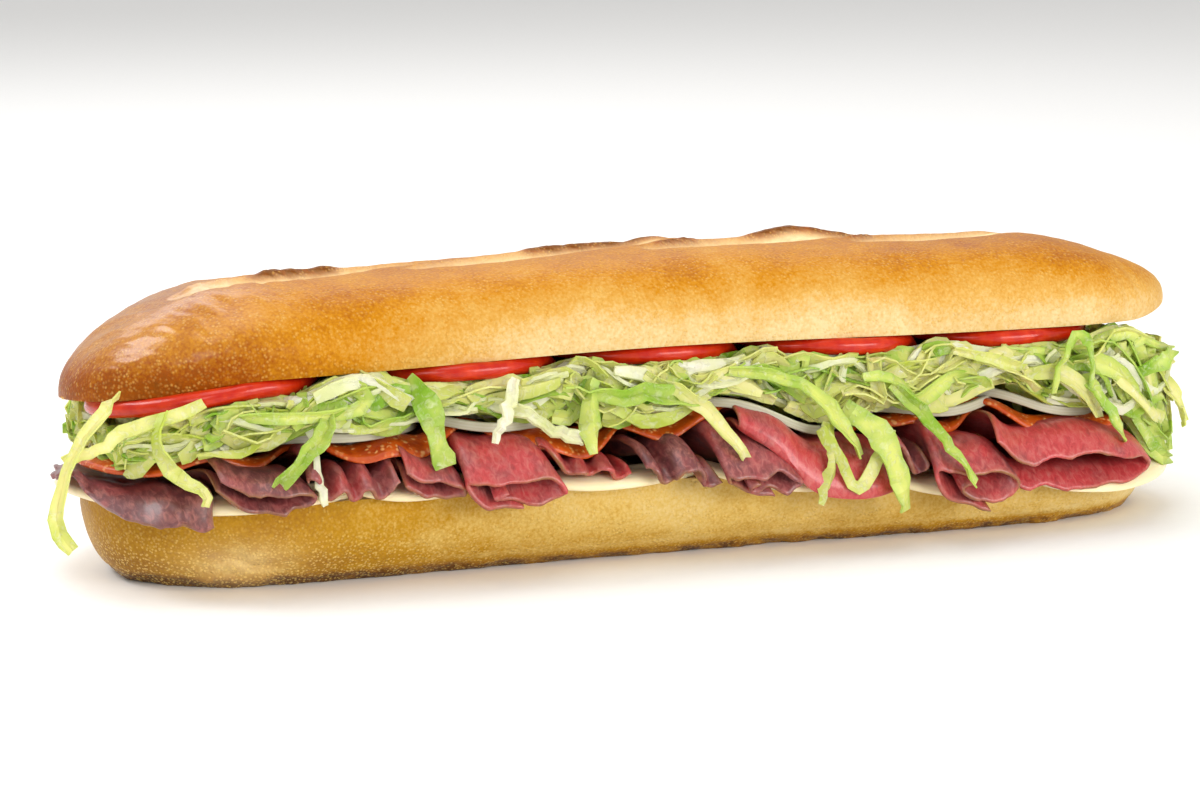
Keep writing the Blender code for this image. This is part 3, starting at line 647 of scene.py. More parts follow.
def crumb_material(roll):
    """Open wheat crumb, cut and pressed: soft, matt, with bubbles up to 3 mm across, darkened inside by
    painted shade, browned by the crust.
    """
    made, tree, shader = new_material("Cut crumb", Roughness=0.85, Specular_IOR_Level=0.2)
    place = add(tree, "TexCoord", out="Object")
    bake = add(tree, "Attribute", out="Fac", attribute_name="bake")
    # Each bubble's hollow is darkened: painted shade inside the pores.
    pores = add(tree, "TexVoronoi", {"Vector": place, "Scale": 1000 / 2.6}, feature="SMOOTH_F1")
    hollow = add(tree, "MapRange", {0: pores, 1: 0.5, 2: 0.15})
    shaded = add(tree, "Math", {0: hollow, 1: 0.45}, operation="MULTIPLY")
    crumb = add(tree, "Mix", {0: shaded, 6: roll.crumb, 7: linear("#B98A4C")}, out=2, data_type="RGBA")
    browning = add(tree, "MapRange", {0: bake, 1: 0.2, 2: 0.9})
    colour = add(tree, "Mix", {0: browning, 6: crumb, 7: linear("#96591F")}, out=2, data_type="RGBA")
    tree.links.new(colour, shader.inputs["Base Color"])
    fine = add(tree, "TexNoise", {"Vector": place, "Scale": 1000 / 0.9, "Detail": 3})
    softened = add(tree, "Math", {0: fine, 1: 0.5}, operation="MULTIPLY")
    relief = add(tree, "Math", {0: softened, 1: hollow}, operation="SUBTRACT")
    bump = add(tree, "Bump", {"Height": relief, "Strength": 0.7, "Distance": 0.8 * MM})
    tree.links.new(bump, shader.inputs["Normal"])
    return made


def cheese_material(filling):
    """Mild white cheese, sliced by blade: waxy, faintly clear, satin, with a slightly deeper rim."""
    made, tree, shader = new_material("Sliced white cheese", Roughness=0.36, Specular_IOR_Level=0.4, IOR=1.44)
    shader.inputs["Subsurface Weight"].default_value = 0.35
    shader.inputs["Subsurface Radius"].default_value = (1, 0.75, 0.4)
    shader.inputs["Subsurface Scale"].default_value = 2.5 * MM
    place = add(tree, "TexCoord", out="Object")
    edge = add(tree, "Attribute", out="Fac", attribute_name="edge")
    clouds = add(tree, "TexNoise", {"Vector": place, "Scale": 1000 / 12, "Detail": 3})
    cloudy = add(tree, "MapRange", {0: clouds, 1: 0.3, 2: 0.7, 3: 0, 4: 0.25})
    rim = add(tree, "MapRange", {0: edge, 1: 0.97, 2: 1.0, 3: 0, 4: 0.3})
    deeper = add(tree, "Math", {0: cloudy, 1: rim}, operation="ADD")
    colour = add(tree, "Mix", {0: deeper, 6: filling.cheese, 7: linear("#E6CF9A")}, out=2, data_type="RGBA")
    tree.links.new(colour, shader.inputs["Base Color"])
    drag = add(tree, "TexNoise", {"Vector": place, "Scale": 1000 / 1.6, "Detail": 3})
    bump = add(tree, "Bump", {"Height": drag, "Strength": 0.25, "Distance": 0.15 * MM})
    tree.links.new(bump, shader.inputs["Normal"])
    return made


def beef_material(filling):
    """Rare roast beef, shaved thin: moist, rosy to brown, with the muscle's drawn grain, whose paler pink
    streaks are partly painted sheen, and a roasted rim.
    """
    made, tree, shader = new_material("Shaved roast beef", Specular_IOR_Level=0.32, Coat_Weight=0.45)
    shader.inputs["Coat Roughness"].default_value = 0.22
    shader.inputs["Subsurface Weight"].default_value = 0.15
    shader.inputs["Subsurface Radius"].default_value = (1, 0.3, 0.2)
    shader.inputs["Subsurface Scale"].default_value = 1.5 * MM
    place = add(tree, "TexCoord", out="Object")
    tone = add(tree, "Attribute", out="Fac", attribute_name="tone")
    rim = add(tree, "Attribute", out="Fac", attribute_name="rim")
    drawn = add(tree, "Mapping", {"Vector": place, "Scale": (1, 0.35, 0.7), "Rotation": (0.3, 0.2, 0.5)})
    grain_links = {"Vector": drawn, "Scale": 1000 / 1.5, "Detail": 4, "Roughness": 0.62, "Distortion": 0.8}
    grain = add(tree, "TexNoise", grain_links)
    patches = add(tree, "TexNoise", {"Vector": place, "Scale": 1000 / 8, "Detail": 3, "Roughness": 0.6})
    patched = add(tree, "MapRange", {0: patches, 1: 0.32, 2: 0.68, 3: -0.38, 4: 0.38})
    rosy = add(tree, "Math", {0: tone, 1: patched}, operation="ADD", use_clamp=True)
    stops = [(0, filling.beef_grey), (0.45, linear("#8E4242")), (1, filling.beef_rosy)]
    meat = add(tree, "ValToRGB", {"Fac": rosy}, stops=stops)
    # Paler pink streaks along the grain: partly the meat's own paler fibre and partly painted sheen.
    light = add(tree, "MapRange", {0: grain, 1: 0.46, 2: 0.72, 3: 0, 4: 0.5})
    flesh_and_sheen = add(tree, "Mix", {0: light, 6: meat, 7: linear("#C67C72")}, out=2, data_type="RGBA")
    dark = add(tree, "MapRange", {0: grain, 1: 0.46, 2: 0.28, 3: 0, 4: 0.42})
    grained = add(tree, "Mix", {0: dark, 6: flesh_and_sheen, 7: linear("#50211B")}, out=2, data_type="RGBA")
    colour = add(tree, "Mix", {0: rim, 6: grained, 7: filling.beef_edge}, out=2, data_type="RGBA")
    tree.links.new(colour, shader.inputs["Base Color"])
    moist = add(tree, "MapRange", {0: grain, 1: 0.3, 2: 0.7, 3: 0.3, 4: 0.48})
    tree.links.new(moist, shader.inputs["Roughness"])
    bump = add(tree, "Bump", {"Height": grain, "Strength": 0.5, "Distance": 0.35 * MM})
    tree.links.new(bump, shader.inputs["Normal"])
    return made


def pepperoni_material(filling):
    """Cured pepperoni: coarse ground, oily, paprika orange with flecks of stained fat and a darker casing."""
    made, tree, shader = new_material("Cured pepperoni", Specular_IOR_Level=0.4, Roughness=0.34)
    shader.inputs["Coat Weight"].default_value = 0.12
    shader.inputs["Subsurface Weight"].default_value = 0.12
    shader.inputs["Subsurface Radius"].default_value = (1, 0.3, 0.1)
    shader.inputs["Subsurface Scale"].default_value = 1 * MM
    place = add(tree, "TexCoord", out="Object")
    edge = add(tree, "Attribute", out="Fac", attribute_name="edge")
    ground = add(tree, "TexVoronoi", {"Vector": place, "Scale": 1000 / 1.7})
    clumps = add(tree, "TexNoise", {"Vector": place, "Scale": 1000 / 2.4, "Detail": 2})
    bits = add(tree, "MapRange", {0: ground, 1: 0.45, 2: 0.2})
    chosen = add(tree, "MapRange", {0: clumps, 1: 0.46, 2: 0.56})
    flecks = add(tree, "Math", {0: bits, 1: chosen}, operation="MULTIPLY")
    minced = add(tree, "TexNoise", {"Vector": place, "Scale": 1000 / 3.2, "Detail": 4})
    darker = add(tree, "MapRange", {0: minced, 1: 0.38, 2: 0.66})
    meaty = add(tree, "Mix", {0: darker, 6: filling.pepperoni, 7: linear("#A8380A")}, out=2, data_type="RGBA")
    fatty = add(tree, "Mix", {0: flecks, 6: meaty, 7: filling.fat}, out=2, data_type="RGBA")
    casing = add(tree, "MapRange", {0: edge, 1: 0.965, 2: 0.995, 3: 0, 4: 0.35})
    colour = add(tree, "Mix", {0: casing, 6: fatty, 7: linear("#B4450E")}, out=2, data_type="RGBA")
    tree.links.new(colour, shader.inputs["Base Color"])
    grain = add(tree, "TexNoise", {"Vector": place, "Scale": 1000 / 1.2, "Detail": 3})
    height = add(tree, "Math", {0: flecks, 1: grain}, operation="ADD")
    bump = add(tree, "Bump", {"Height": height, "Strength": 0.45, "Distance": 0.3 * MM})
    tree.links.new(bump, shader.inputs["Normal"])
    return made


def onion_material(filling):
    """Raw onion: wet and half clear, with fine veins along each layer."""
    made, tree, shader = new_material("Raw white onion", Roughness=0.22, Specular_IOR_Level=0.5, IOR=1.38)
    shader.inputs["Subsurface Weight"].default_value = 0.4
    shader.inputs["Subsurface Radius"].default_value = (1, 1, 0.8)
    shader.inputs["Subsurface Scale"].default_value = 3 * MM
    layer = add(tree, "Attribute", out="Fac", attribute_name="layer")
    spread = add(tree, "Math", {0: layer, 1: 6.0}, operation="MULTIPLY")
    across = add(tree, "CombineXYZ", {"X": spread})
    wave_links = {"Vector": across, "Scale": 1.0, "Distortion": 0.5}
    veins = add(tree, "TexWave", wave_links, out="Fac", wave_type="BANDS")
    faint = add(tree, "Math", {0: veins, 1: 0.35}, operation="MULTIPLY")
    colour = add(tree, "Mix", {0: faint, 6: filling.onion, 7: linear("#C4BF90")}, out=2, data_type="RGBA")
    tree.links.new(colour, shader.inputs["Base Color"])
    # The band is a few millimetres of wet cells, so what lies behind shows through faintly.
    glow = add(tree, "BsdfTranslucent", {"Color": colour})
    both = add(tree, "MixShader", {"Fac": 0.35, 1: shader.outputs[0], 2: glow})
    tree.links.new(both, tree.nodes["Material Output"].inputs["Surface"])
    return made


def tomato_material(filling):
    """Ripe tomato: tight glossy skin round the rim, and a wet cut face with paler walls and darker gel."""
    made, tree, shader = new_material("Ripe tomato", Roughness=0.24, Specular_IOR_Level=0.3, Coat_Weight=0.12)
    shader.inputs["Coat Roughness"].default_value = 0.08
    shader.inputs["Subsurface Weight"].default_value = 0.12
    shader.inputs["Subsurface Radius"].default_value = (1, 0.2, 0.12)
    shader.inputs["Subsurface Scale"].default_value = 2 * MM
    place = add(tree, "TexCoord", out="Object")
    edge = add(tree, "Attribute", out="Fac", attribute_name="edge")
    chambers = add(tree, "TexNoise", {"Vector": place, "Scale": 1000 / 8, "Detail": 2})
    gel = add(tree, "MapRange", {0: chambers, 1: 0.42, 2: 0.58})
    face = add(tree, "Mix", {0: gel, 6: filling.tomato_flesh, 7: linear("#A81F0A")}, out=2, data_type="RGBA")
    mottling = add(tree, "TexNoise", {"Vector": place, "Scale": 1000 / 3, "Detail": 3})
    streaks = add(tree, "MapRange", {0: mottling, 1: 0.35, 2: 0.7, 3: 0, 4: 0.5})
    streaked = {0: streaks, 6: filling.tomato_skin, 7: linear("#D8400F")}
    tight = add(tree, "Mix", streaked, out=2, data_type="RGBA")
    skinned = add(tree, "MapRange", {0: edge, 1: 0.93, 2: 0.96})
    colour = add(tree, "Mix", {0: skinned, 6: face, 7: tight}, out=2, data_type="RGBA")
    tree.links.new(colour, shader.inputs["Base Color"])
    wet = add(tree, "TexNoise", {"Vector": place, "Scale": 1000 / 2.2, "Detail": 3})
    bump = add(tree, "Bump", {"Height": wet, "Strength": 0.3, "Distance": 0.25 * MM})
    tree.links.new(bump, shader.inputs["Normal"])
    return made


def lettuce_material(name, middle, edge, rib, gloss):
    """Iceberg lettuce: a crisp wet leaf that lets light through, greener along its cut edges, with pale
    veins."""
    made, tree, shader = new_material(name, Roughness=gloss, Specular_IOR_Level=0.5, IOR=1.4)
    place = add(tree, "TexCoord", out="Object")
    tint = add(tree, "Attribute", out="Fac", attribute_name="tint")
    across = add(tree, "Attribute", out="Fac", attribute_name="across")
    clouds = add(tree, "TexNoise", {"Vector": place, "Scale": 1000 / 6, "Detail": 3})
    cloudy = add(tree, "MapRange", {0: clouds, 1: 0.3, 2: 0.7, 3: -0.4, 4: 0.4})
    green = add(tree, "Math", {0: tint, 1: 0.75, 2: cloudy}, operation="MULTIPLY_ADD", use_clamp=True)
    body = add(tree, "Mix", {0: green, 6: middle, 7: edge}, out=2, data_type="RGBA")
    streaks = add(tree, "TexNoise", {"Vector": place, "Scale": 1000 / 2.2, "Detail": 3, "Distortion": 1.5})
    vein = add(tree, "MapRange", {0: streaks, 1: 0.5, 2: 0.72, 3: 0, 4: 0.55})
    veined = add(tree, "Mix", {0: vein, 6: body, 7: rib}, out=2, data_type="RGBA")
    outer = add(tree, "MapRange", {0: across, 1: 0.3, 2: 1.0, 3: 0, 4: 0.4})
    colour = add(tree, "Mix", {0: outer, 6: veined, 7: edge}, out=2, data_type="RGBA")
    tree.links.new(colour, shader.inputs["Base Color"])
    height = add(tree, "Math", {0: vein, 1: 1.2, 2: clouds}, operation="MULTIPLY_ADD")
    bump = add(tree, "Bump", {"Height": height, "Strength": 0.7, "Distance": 0.5 * MM})
    tree.links.new(bump, shader.inputs["Normal"])
    # Light from behind glows through the leaf.
    glow = add(tree, "BsdfTranslucent", {"Color": colour})
    both = add(tree, "MixShader", {"Fac": 0.4, 1: shader.outputs[0], 2: glow})
    tree.links.new(both, tree.nodes["Material Output"].inputs["Surface"])
    return made


# ---------------------------------------------------------------- the roll


def half_roll(name, node, outside, cut_face, crust, roll, **fields):
    """One half of the roll, from its outside and its cut face, which share their stations. A field is a pair
    of values, over the outside and over the cut face; each tip takes that of the point beside it."""
    points, faces = skin(np.concatenate([outside, cut_face], axis=1))
    rows, columns = len(outside), outside.shape[1] + cut_face.shape[1]
    on_cut = np.tile(np.arange(columns) >= outside.shape[1] - 1, rows - 1)
    face_material = np.concatenate([on_cut, np.zeros(2 * columns)]).astype(np.int32)
    stored = {}
    for field, (over_outside, over_cut) in fields.items():
        over_outside = np.broadcast_to(over_outside, outside.shape[:2])
        over_cut = np.broadcast_to(over_cut, cut_face.shape[:2])
        values = np.concatenate([over_outside, over_cut], axis=1).ravel()
        stored[field] = np.concatenate([values, values[[0, -1]]])
    crumb = bpy.data.materials.get("Cut crumb") or crumb_material(roll)
    make(name, points, faces, [crust, crumb], "crust", node, face_material, CRUST_SHARP, **stored)


def slash_marks(x, y):
    """Relief, flour and toast of the slashes. Each is a leaf-shaped trough along a slanting line, with a low
    lip along its far side. Over the ears the lip stands up raggedly and is toasted; the trough is floured."""
    relief, flour, toast = 0.0, 0.0, 0.0
    eared = sum(smooth_step(x, left - 3, 6) * (1 - smooth_step(x, right - 3, 6)) for left, right in EARS)
    for k, centre in enumerate(SLASHES):
        along = (x - centre) * math.cos(SLASH_ANGLE) + y * math.sin(SLASH_ANGLE)
        across = y * math.cos(SLASH_ANGLE) - (x - centre) * math.sin(SLASH_ANGLE)
        across = across + 0.7 * noise(along, 0 * along, 18, 40 + k, 2)
        leaf = np.clip(1 - (along / SLASH_HALF_LENGTH) ** 2, 0, 1)
        width = SLASH_HALF_WIDTH * (0.35 + 0.65 * leaf)
        trough = np.exp(-((across / width) ** 4)) * np.sqrt(leaf)
        ragged = 1 + 0.5 * noise(along, across * 0.2, 5, 60 + k, 3)
        lip = np.exp(-(((across - 1.05 * width) / (0.24 * width)) ** 2)) * np.sqrt(leaf)
        ear = lip * eared * ragged
        relief = relief + 0.7 * lip + 1.0 * ear - 2.4 * trough
        flour = np.maximum(flour, trough)
        toast = np.maximum(toast, ear)
    return relief, flour, np.clip(toast, 0, 1)


def bread_crown(roll):
    """Superellipse sections joined along the roll. Lumps, slashes and fine wrinkles are added upwards, and
    the cut face closes each section below."""
    x = stations(CROWN_STATIONS)[:, None]
    angle = np.linspace(-CROWN_TUCK, math.pi + CROWN_TUCK, 150)[None, :]
    dome_c, dome_s = superellipse(angle, CROWN_SQUARENESS)
    half_width = HALF_WIDTH * end_taper(x, PLAN_END)
    lean = 1 - 0.05 * ((x - 40) / HALF_LENGTH) ** 2
    taper = np.where(x > 0, end_taper(x, PROFILE_END) ** 1.35, end_taper(x, PROFILE_BLUNT_END))
    height = CROWN_HEIGHT * lean * taper
    y = -half_width * dome_c
    up = height * (dome_s - dome_s[0, 0]) / (1 - dome_s[0, 0])
    share = up / CROWN_HEIGHT
    relief, flour, toast = slash_marks(x, y)
    fade = np.clip(2.5 * share - 1.2, 0, 1)
    girth = HALF_WIDTH * angle + 0 * x
    lumps = 0.8 * noise(x + 0 * girth, girth, 30, 3, 2) + 0.18 * noise(x + 0 * girth, girth, 6, 5, 3)
    fan = noise(x * 1.5 + 0.5 * girth, girth * 0.3, 5, 8, 2)
    wrinkles = 0.5 * fan * smooth_step(-x, 80, 30) + 0.08 * fan
    creased = np.clip(noise(x + 0.2 * girth, girth * 0.2, 6, 14, 2) - 0.2, 0, 1)
    creases = -1.1 * creased * smooth_step(x, -30, 60) * (1 - smooth_step(share, 0.35, 0.4))
    knobs = sum(high * np.exp(-((x - at) ** 2 + (y - off) ** 2) / size**2) for at, off, high, size in KNOBS)
    round_off = np.clip(share * 6, 0, 1)
    uneven = (lumps + wrinkles + creases) * round_off * np.sqrt(taper)
    z = crown_edge(x, y) + up + fade * (relief + knobs) + uneven
    dome = np.stack(np.broadcast_arrays(x, y - 0.6 * (lumps + creases) * dome_c * round_off, z), axis=-1)

    face_y = np.linspace(1, -1, 32)[1:-1][None, :] * np.abs(y[:, :1])
    hollow = np.minimum(crown_cut(x, face_y), crown_edge(x, face_y) + 0.4 * height)
    pitted = 0.35 * noise(x + 0 * face_y, face_y, 3, 21, 2)
    bottom = np.stack(np.broadcast_arrays(x, face_y, hollow + pitted), axis=-1)

    left = smooth_step(-x, 25, 115)
    right_side = 0.08 + 0.5 * smooth_step(share, 0.0, 0.95)
    # The left end is deep brown low down and paler higher up. The paling higher up is partly a painted
    # highlight for the sheen on that end.
    left_brown_and_highlight = 0.78 - 0.2 * smooth_step(share, 0.1, 0.5) + 0.04 * smooth_step(share, 0.6, 0.4)
    bake = right_side * (1 - left) + left_brown_and_highlight * left
    bake = bake + 0.12 * noise(x + 0 * y, girth, 22, 31, 3) + 0.12 * smooth_step(x, 95, 55)
    toasting = 0.75 * toast * fade * (0.8 + 0.35 * noise(x + 0 * y, girth, 4, 33, 2))
    bake = bake + toasting - 0.12 * creased * (x > 0)
    edge_bake = 0.75 * np.exp(-np.minimum(face_y - face_y.min(), face_y.max() - face_y) / 3.5)
    fields = {
        "bake": (np.clip(bake, 0, 1), edge_bake),
        "flour": (flour * fade * (1 - np.clip(1.4 * toast, 0, 1)), 0),
        "gloss": (0.01 + 0.7 * smooth_step(-x, 98, 36) * smooth_step(share, 0.1, 0.4), 0),
        "grit": (0.25 * (1 - share) * smooth_step(x, 60, 60), 0),
    }
    tones = (roll.pale, linear("#C89A4C"), roll.golden, roll.brown, roll.toasted)
    crust = crust_material("Baked crust", tones, roll.flour, linear("#E4B05A"))
    half_roll("bread_crown", "crown", dome, bottom, crust, roll, **fields)


def bread_heel(roll):
    """Superellipse sections joined along the roll and cut off flat at Z = 0, with the cut face across the
    top."""
    x = stations(HEEL_STATIONS, HEEL_HALF_LENGTH)[:, None]
    angle = np.linspace(0, math.pi, 120)[None, :]
    under_c, under_s = superellipse(angle, HEEL_SQUARENESS)
    half_width = (HALF_WIDTH - 0.3) * end_taper(x, PLAN_END, HEEL_HALF_LENGTH)
    cut = heel_rim(x)
    blunt, round_end = (end_taper(x, end, HEEL_HALF_LENGTH) for end in (HEEL_BLUNT_END, HEEL_PROFILE_END))
    depth = (cut + HEEL_OVERRUN - HEEL_LIFT * smooth_step(-x, 118, 34)) * np.where(x > 0, round_end, blunt)
    y = -half_width * under_c
    z = cut - depth * under_s
    girth = HALF_WIDTH * angle + 0 * x
    share = np.clip(z / cut, 0, 1)
    lumps = 0.7 * noise(x + 0 * girth, girth, 26, 71, 3) + 0.18 * noise(x + 0 * girth, girth, 4, 75, 3)
    torn_x, torn_z = (x - TORN_PLACE[0]) / TORN_SIZE[0], (z - TORN_PLACE[1]) / TORN_SIZE[1]
    torn = np.exp(-(torn_x**2) - torn_z**2) * (np.cos(angle) > 0)
    lumps = lumps - 2.4 * torn * (1 + 0.6 * noise(x + 0 * girth, girth, 5, 78, 2))
    round_off = np.clip((1 - share) * 5, 0, 1)
    side_y = y - np.sign(under_c) * lumps * round_off * np.abs(under_c) ** 0.5
    foot = 1.1 * noise(x + 0 * girth, girth, 6, 81, 4) * (1 - smooth_step(z, 0.5, 4))
    z_out = np.maximum(z + foot, 0)
    shell = np.stack(np.broadcast_arrays(x, side_y, z_out), axis=-1)
    face_y = np.linspace(1, -1, 22)[1:-1][None, :] * half_width
    sunk = np.maximum(heel_cut(x, face_y), cut - 0.7 * depth)
    pitted = 0.2 * noise(x + 0 * face_y, face_y, 3, 84, 2)
    top = np.stack(np.broadcast_arrays(x, face_y, sunk + pitted), axis=-1)

    left = smooth_step(-x, 20, 100)
    bake = 0.26 * (1 - left) + 0.62 * left - 0.14 * smooth_step(x, 90, 50)
    bake = bake + 0.16 * smooth_step(1 - share, 0.4, 0.5) * (0.8 + 0.5 * noise(x + 0 * y, girth, 9, 91, 3))
    crisp = np.exp(-np.maximum(z - 1.6, 0) / 1.4) * (0.75 + 0.8 * noise(x + 0 * y, girth, 3, 95, 3))
    bake = bake + 0.6 * np.clip(crisp, 0, 1) - 0.12 * np.exp(-(((z - 4.5) / 1.2) ** 2))
    bake = bake + 0.1 * noise(x + 0 * y, girth, 18, 93, 3)
    bake = bake - 0.3 * torn * (1 + noise(x + 0 * y, girth, 4, 97, 3))
    grit = smooth_step(1 - share, 0.1, 0.75) * (0.35 + 0.55 * left)
    edge_bake = 0.5 * np.exp(-np.minimum(face_y - face_y.min(), face_y.max() - face_y) / 3)
    fields = {
        "bake": (np.clip(bake, 0, 0.95), edge_bake),
        "flour": (0.4 * np.clip(torn, 0, 1), 0),
        "grit": (np.clip(grit, 0, 1), 0),
        "gloss": (0.02, 0),
    }
    floor_tones = [linear(code) for code in ("#D9C48C", "#CAA95C", "#B0821E", "#94651E", "#54300F")]
    crust = crust_material("Oven floor crust", floor_tones, roll.flour, linear("#D8B25C"))
    half_roll("bread_heel", "heel", shell, top, crust, roll, **fields)


# ---------------------------------------------------------------- slices


def cheese_slices(filling):
    """Round slices that lie on the map, with a wavering of a quarter of a millimetre."""
    material = cheese_material(filling)
    for k, centre in enumerate(CHEESE):
        name = f"cheese_{k + 1}"

        def level(x, y):
            return FLOOR.height(name, x, y) + 0.25 * noise(x, y, 16, 5 + k, 2)

        size = (CHEESE_RADIUS, CHEESE_THICKNESS)
        round_slice(f"cheese_slice_{k + 1}", centre, *size, level, 1, k, material, "cheese", name, 150)


def pepperoni_slices(filling):
    """Round slices that lie on the map. Past the bread's edge a slice keeps the height it has just inside it,
    falls by a slope, and droops at its front as a parabola."""
    material = pepperoni_material(filling)
    straight = HEEL_HALF_LENGTH - PLAN_END
    for k, centre in enumerate(PEPPERONI):
        name = f"pepperoni_{k + 1}"

        def level(x, y):
            beyond = np.maximum(outside_heel(x, y) - 1.5, 0)
            spine = 0.93 * np.clip(x, -straight, straight)
            inward = 1 - beyond / np.hypot(x - spine, y)
            inner_x = spine + (x - spine) * inward
            height = FLOOR.height(name, inner_x, y * inward) - 0.3 * beyond
            height = height - 0.018 * np.maximum(centre[1] - y - 16, 0) ** 2
            return height + 0.4 * noise(x, y, 14, 15 + k, 2) + 0.3

        size = (PEPPERONI_RADIUS, PEPPERONI_THICKNESS)
        round_slice(f"pepperoni_slice_{k + 1}", centre, *size, level, 1, k + 2, material, "pepperoni", name)


def tomato_slices(filling):
    """Round slices pressed up against the crown's cut face, with a wavering of a quarter of a millimetre."""
    material = tomato_material(filling)
    for k, centre in enumerate(TOMATO):
        name = f"tomato_{k + 1}"

        def level(x, y):
            return CEILING.height(name, x, y, -1) + 0.25 * noise(x, y, 10, 25 + k, 2)

        size = (TOMATO_RADIUS, TOMATO_THICKNESS)
        round_slice(f"tomato_slice_{k + 1}", centre, *size, level, -1, k + 9, material, "tomato", name, 140)


def onion_arcs(filling):
    """Each arc carries a rounded, slightly cupped section along a circle, and narrows at its ends. It lies on
    the map's heights along the circle, averaged by a bell-shaped window."""
    material = onion_material(filling)
    window = np.hanning(ONION_BEND)[1:-1]
    window = window / window.sum()
    for k, (cx, cy, radius, middle, swept) in enumerate(ONION):
        along = np.linspace(0, 1, 60)[:, None]
        turn = np.radians(middle + swept * (along - 0.5))
        around = np.linspace(0, 2 * math.pi, 16, endpoint=False)[None, :]
        c, s = superellipse(around, 3.0)
        narrow = np.sqrt(np.clip(1 - (2 * along - 1) ** 10, 0.02, 1))
        wander = radius * (1 + 0.03 * np.sin(3 * turn + k))
        away = wander - ONION_BAND / 2 + narrow * (ONION_BAND / 2 * c * 0.8 + 0.5 * s**2)
        x, y = cx + away * np.cos(turn), cy + away * np.sin(turn)
        bed = FLOOR.height(f"onion_{k + 1}", cx + wander * np.cos(turn), cy + wander * np.sin(turn))
        padded = np.pad(bed[:, 0], ONION_BEND // 2 - 1, "edge")
        bed = np.convolve(padded, window, "valid")[:, None]
        z = bed + 1.0 + 1.25 * narrow * s
        points, faces = skin(np.stack([x, y, z], axis=-1))
        layer = np.broadcast_to(c, x.shape).ravel()
        layer = np.concatenate([layer, [0, 0]])
        make(f"onion_arc_{k + 1}", points, faces, [material], "onion", f"onion_{k + 1}", layer=layer)


# ---------------------------------------------------------------- roast beef


def ruffled(width, seed):
    """Centre line of a slice gathered into waves: a curve whose heading swings as a sine, faster in some
    places than in others, in unit shares."""
    turns = max(1, round(width / 9))
    fine = np.linspace(0, 1, 60 * turns)
    uneven = fine + 0.09 * np.sin(2 * math.pi * fine + seed) / turns + 0.05 * np.sin(5 * fine + 2 * seed)
    swing = math.radians(78) * np.cos(2 * math.pi * turns * uneven + 0.4)
    swing = swing * (0.85 + 0.25 * np.sin(3 * fine + seed))
    line = np.stack([np.cumsum(np.cos(swing)), np.cumsum(np.sin(swing))], axis=1)
    return (line - line.min(axis=0)) / np.ptp(line, axis=0)


def beef_folds(filling):
    """Each fold carries its section from the mouth at the front to the back. At the mouth the section is
    full, opens by the flare and leans aside; behind, it flattens. The bent fold carries its section the other
    way, along the roll, so that its bend faces the front. The shell's rim thins out and is ragged."""
    material = beef_material(filling)
    for k, (left, right, reach, height, form, flare, lean, tone) in enumerate(BEEF):
        u = edged(70, 0.012)
        v = edged(34, 0.02)
        outline = through(FORMS[form], 400) if form in FORMS else ruffled(right - left, k)
        lengths = np.linalg.norm(np.diff(outline, axis=0) * (right - left, height), axis=1)
        steps = np.concatenate([[0], np.cumsum(lengths)])
        where = u * steps[-1]
        across, above = (np.interp(where, steps, outline[:, axis]) for axis in (0, 1))
        u2, v2 = np.meshgrid(u, v)
        if form == "bent":
            x = left - BENT_LEFT + (right - left + BENT_LEFT + BENT_RIGHT) * v2
            edge = HALF_WIDTH * end_taper(x, PLAN_END)
            y = -edge - reach * np.sin(math.pi * (0.15 + 0.6 * v2)) + 15 * (1 - across)[None, :]
            raised = above[None, :] * height * (0.45 + 0.5 * np.sin(math.pi * (0.05 + 0.8 * v2)))
        else:
            share = v2**1.25
            mouth = np.exp(-share / 0.1)
            grown = 1 + flare * mouth
            middle = (left + right) / 2
            width = right - left - BEEF_THICKNESS
            x = middle + (across - 0.5)[None, :] * width * grown + lean * mouth
            x = x + 1.1 * noise(u2 * steps[-1], v2 * 60, 10, 180 + k, 2)
            ragged = 1.3 * noise(u2 * steps[-1], 0 * u2, 5, 100 + k, 3) * (1 - 2 * share)
            y = fold_line(x, reach, share) + ragged + 2.5 * mouth * (0.5 - above)[None, :]
            raised = above[None, :] * (height - BEEF_THICKNESS) * fullness(share, height) * grown
        bed = FLOOR.height(f"beef_{k + 1}", x, y)
        z = bed + BEEF_THICKNESS / 2 + 0.4 + raised
        bumpy = 0.9 * noise(u2 * steps[-1], y, 12, 120 + k, 3)
        middle_sheet = np.stack([x, y, z + bumpy], axis=-1)[None]
        near_u, near_v = np.minimum(u2, 1 - u2) * steps[-1], np.minimum(v2, 1 - v2) * 80
        rim_gap = np.minimum(near_u, near_v)
        thickness = BEEF_THICKNESS * np.sqrt(np.clip(rim_gap / 0.8, 0.12, 1))
        points, faces = shells(middle_sheet, thickness[None])
        rim = np.exp(-rim_gap / 0.6) * np.clip(0.5 + 0.9 * noise(u2 * steps[-1], y, 5, 140 + k, 2), 0, 1)
        tones = np.full(u2.shape, tone) + 0.15 * noise(u2 * steps[-1], y, 15, 160 + k)
        fields = {"rim": np.tile(rim.ravel(), 2), "tone": np.tile(tones.ravel(), 2)}
        make(f"beef_fold_{k + 1:02d}", points, faces, [material], "beef", f"roast_beef_{k + 1:02d}", **fields)


# ---------------------------------------------------------------- lettuce


def heap_limits(x, y):
    """Lowest and highest place for lettuce at a point of the plan. Past the bread's outline both are those
    just inside it, and slope down gently; the highest also falls at both ends."""
    edge = HALF_WIDTH * end_taper(x, PLAN_END)
    outside = np.abs(y) - edge
    inner_y = np.sign(y) * np.minimum(np.abs(y), np.maximum(edge - 3, 0))
    low = FLOOR.height("lettuce", x, inner_y) - 0.25 * np.maximum(outside, 0)
    high = CEILING.height("lettuce", x, inner_y, -1) - 0.2 - 0.12 * np.maximum(outside, 0)
    high = high - 9 * smooth_step(x, 124, 26) - 3 * smooth_step(-x, 128, 24)
    return low, np.maximum(high, low + 1.5)


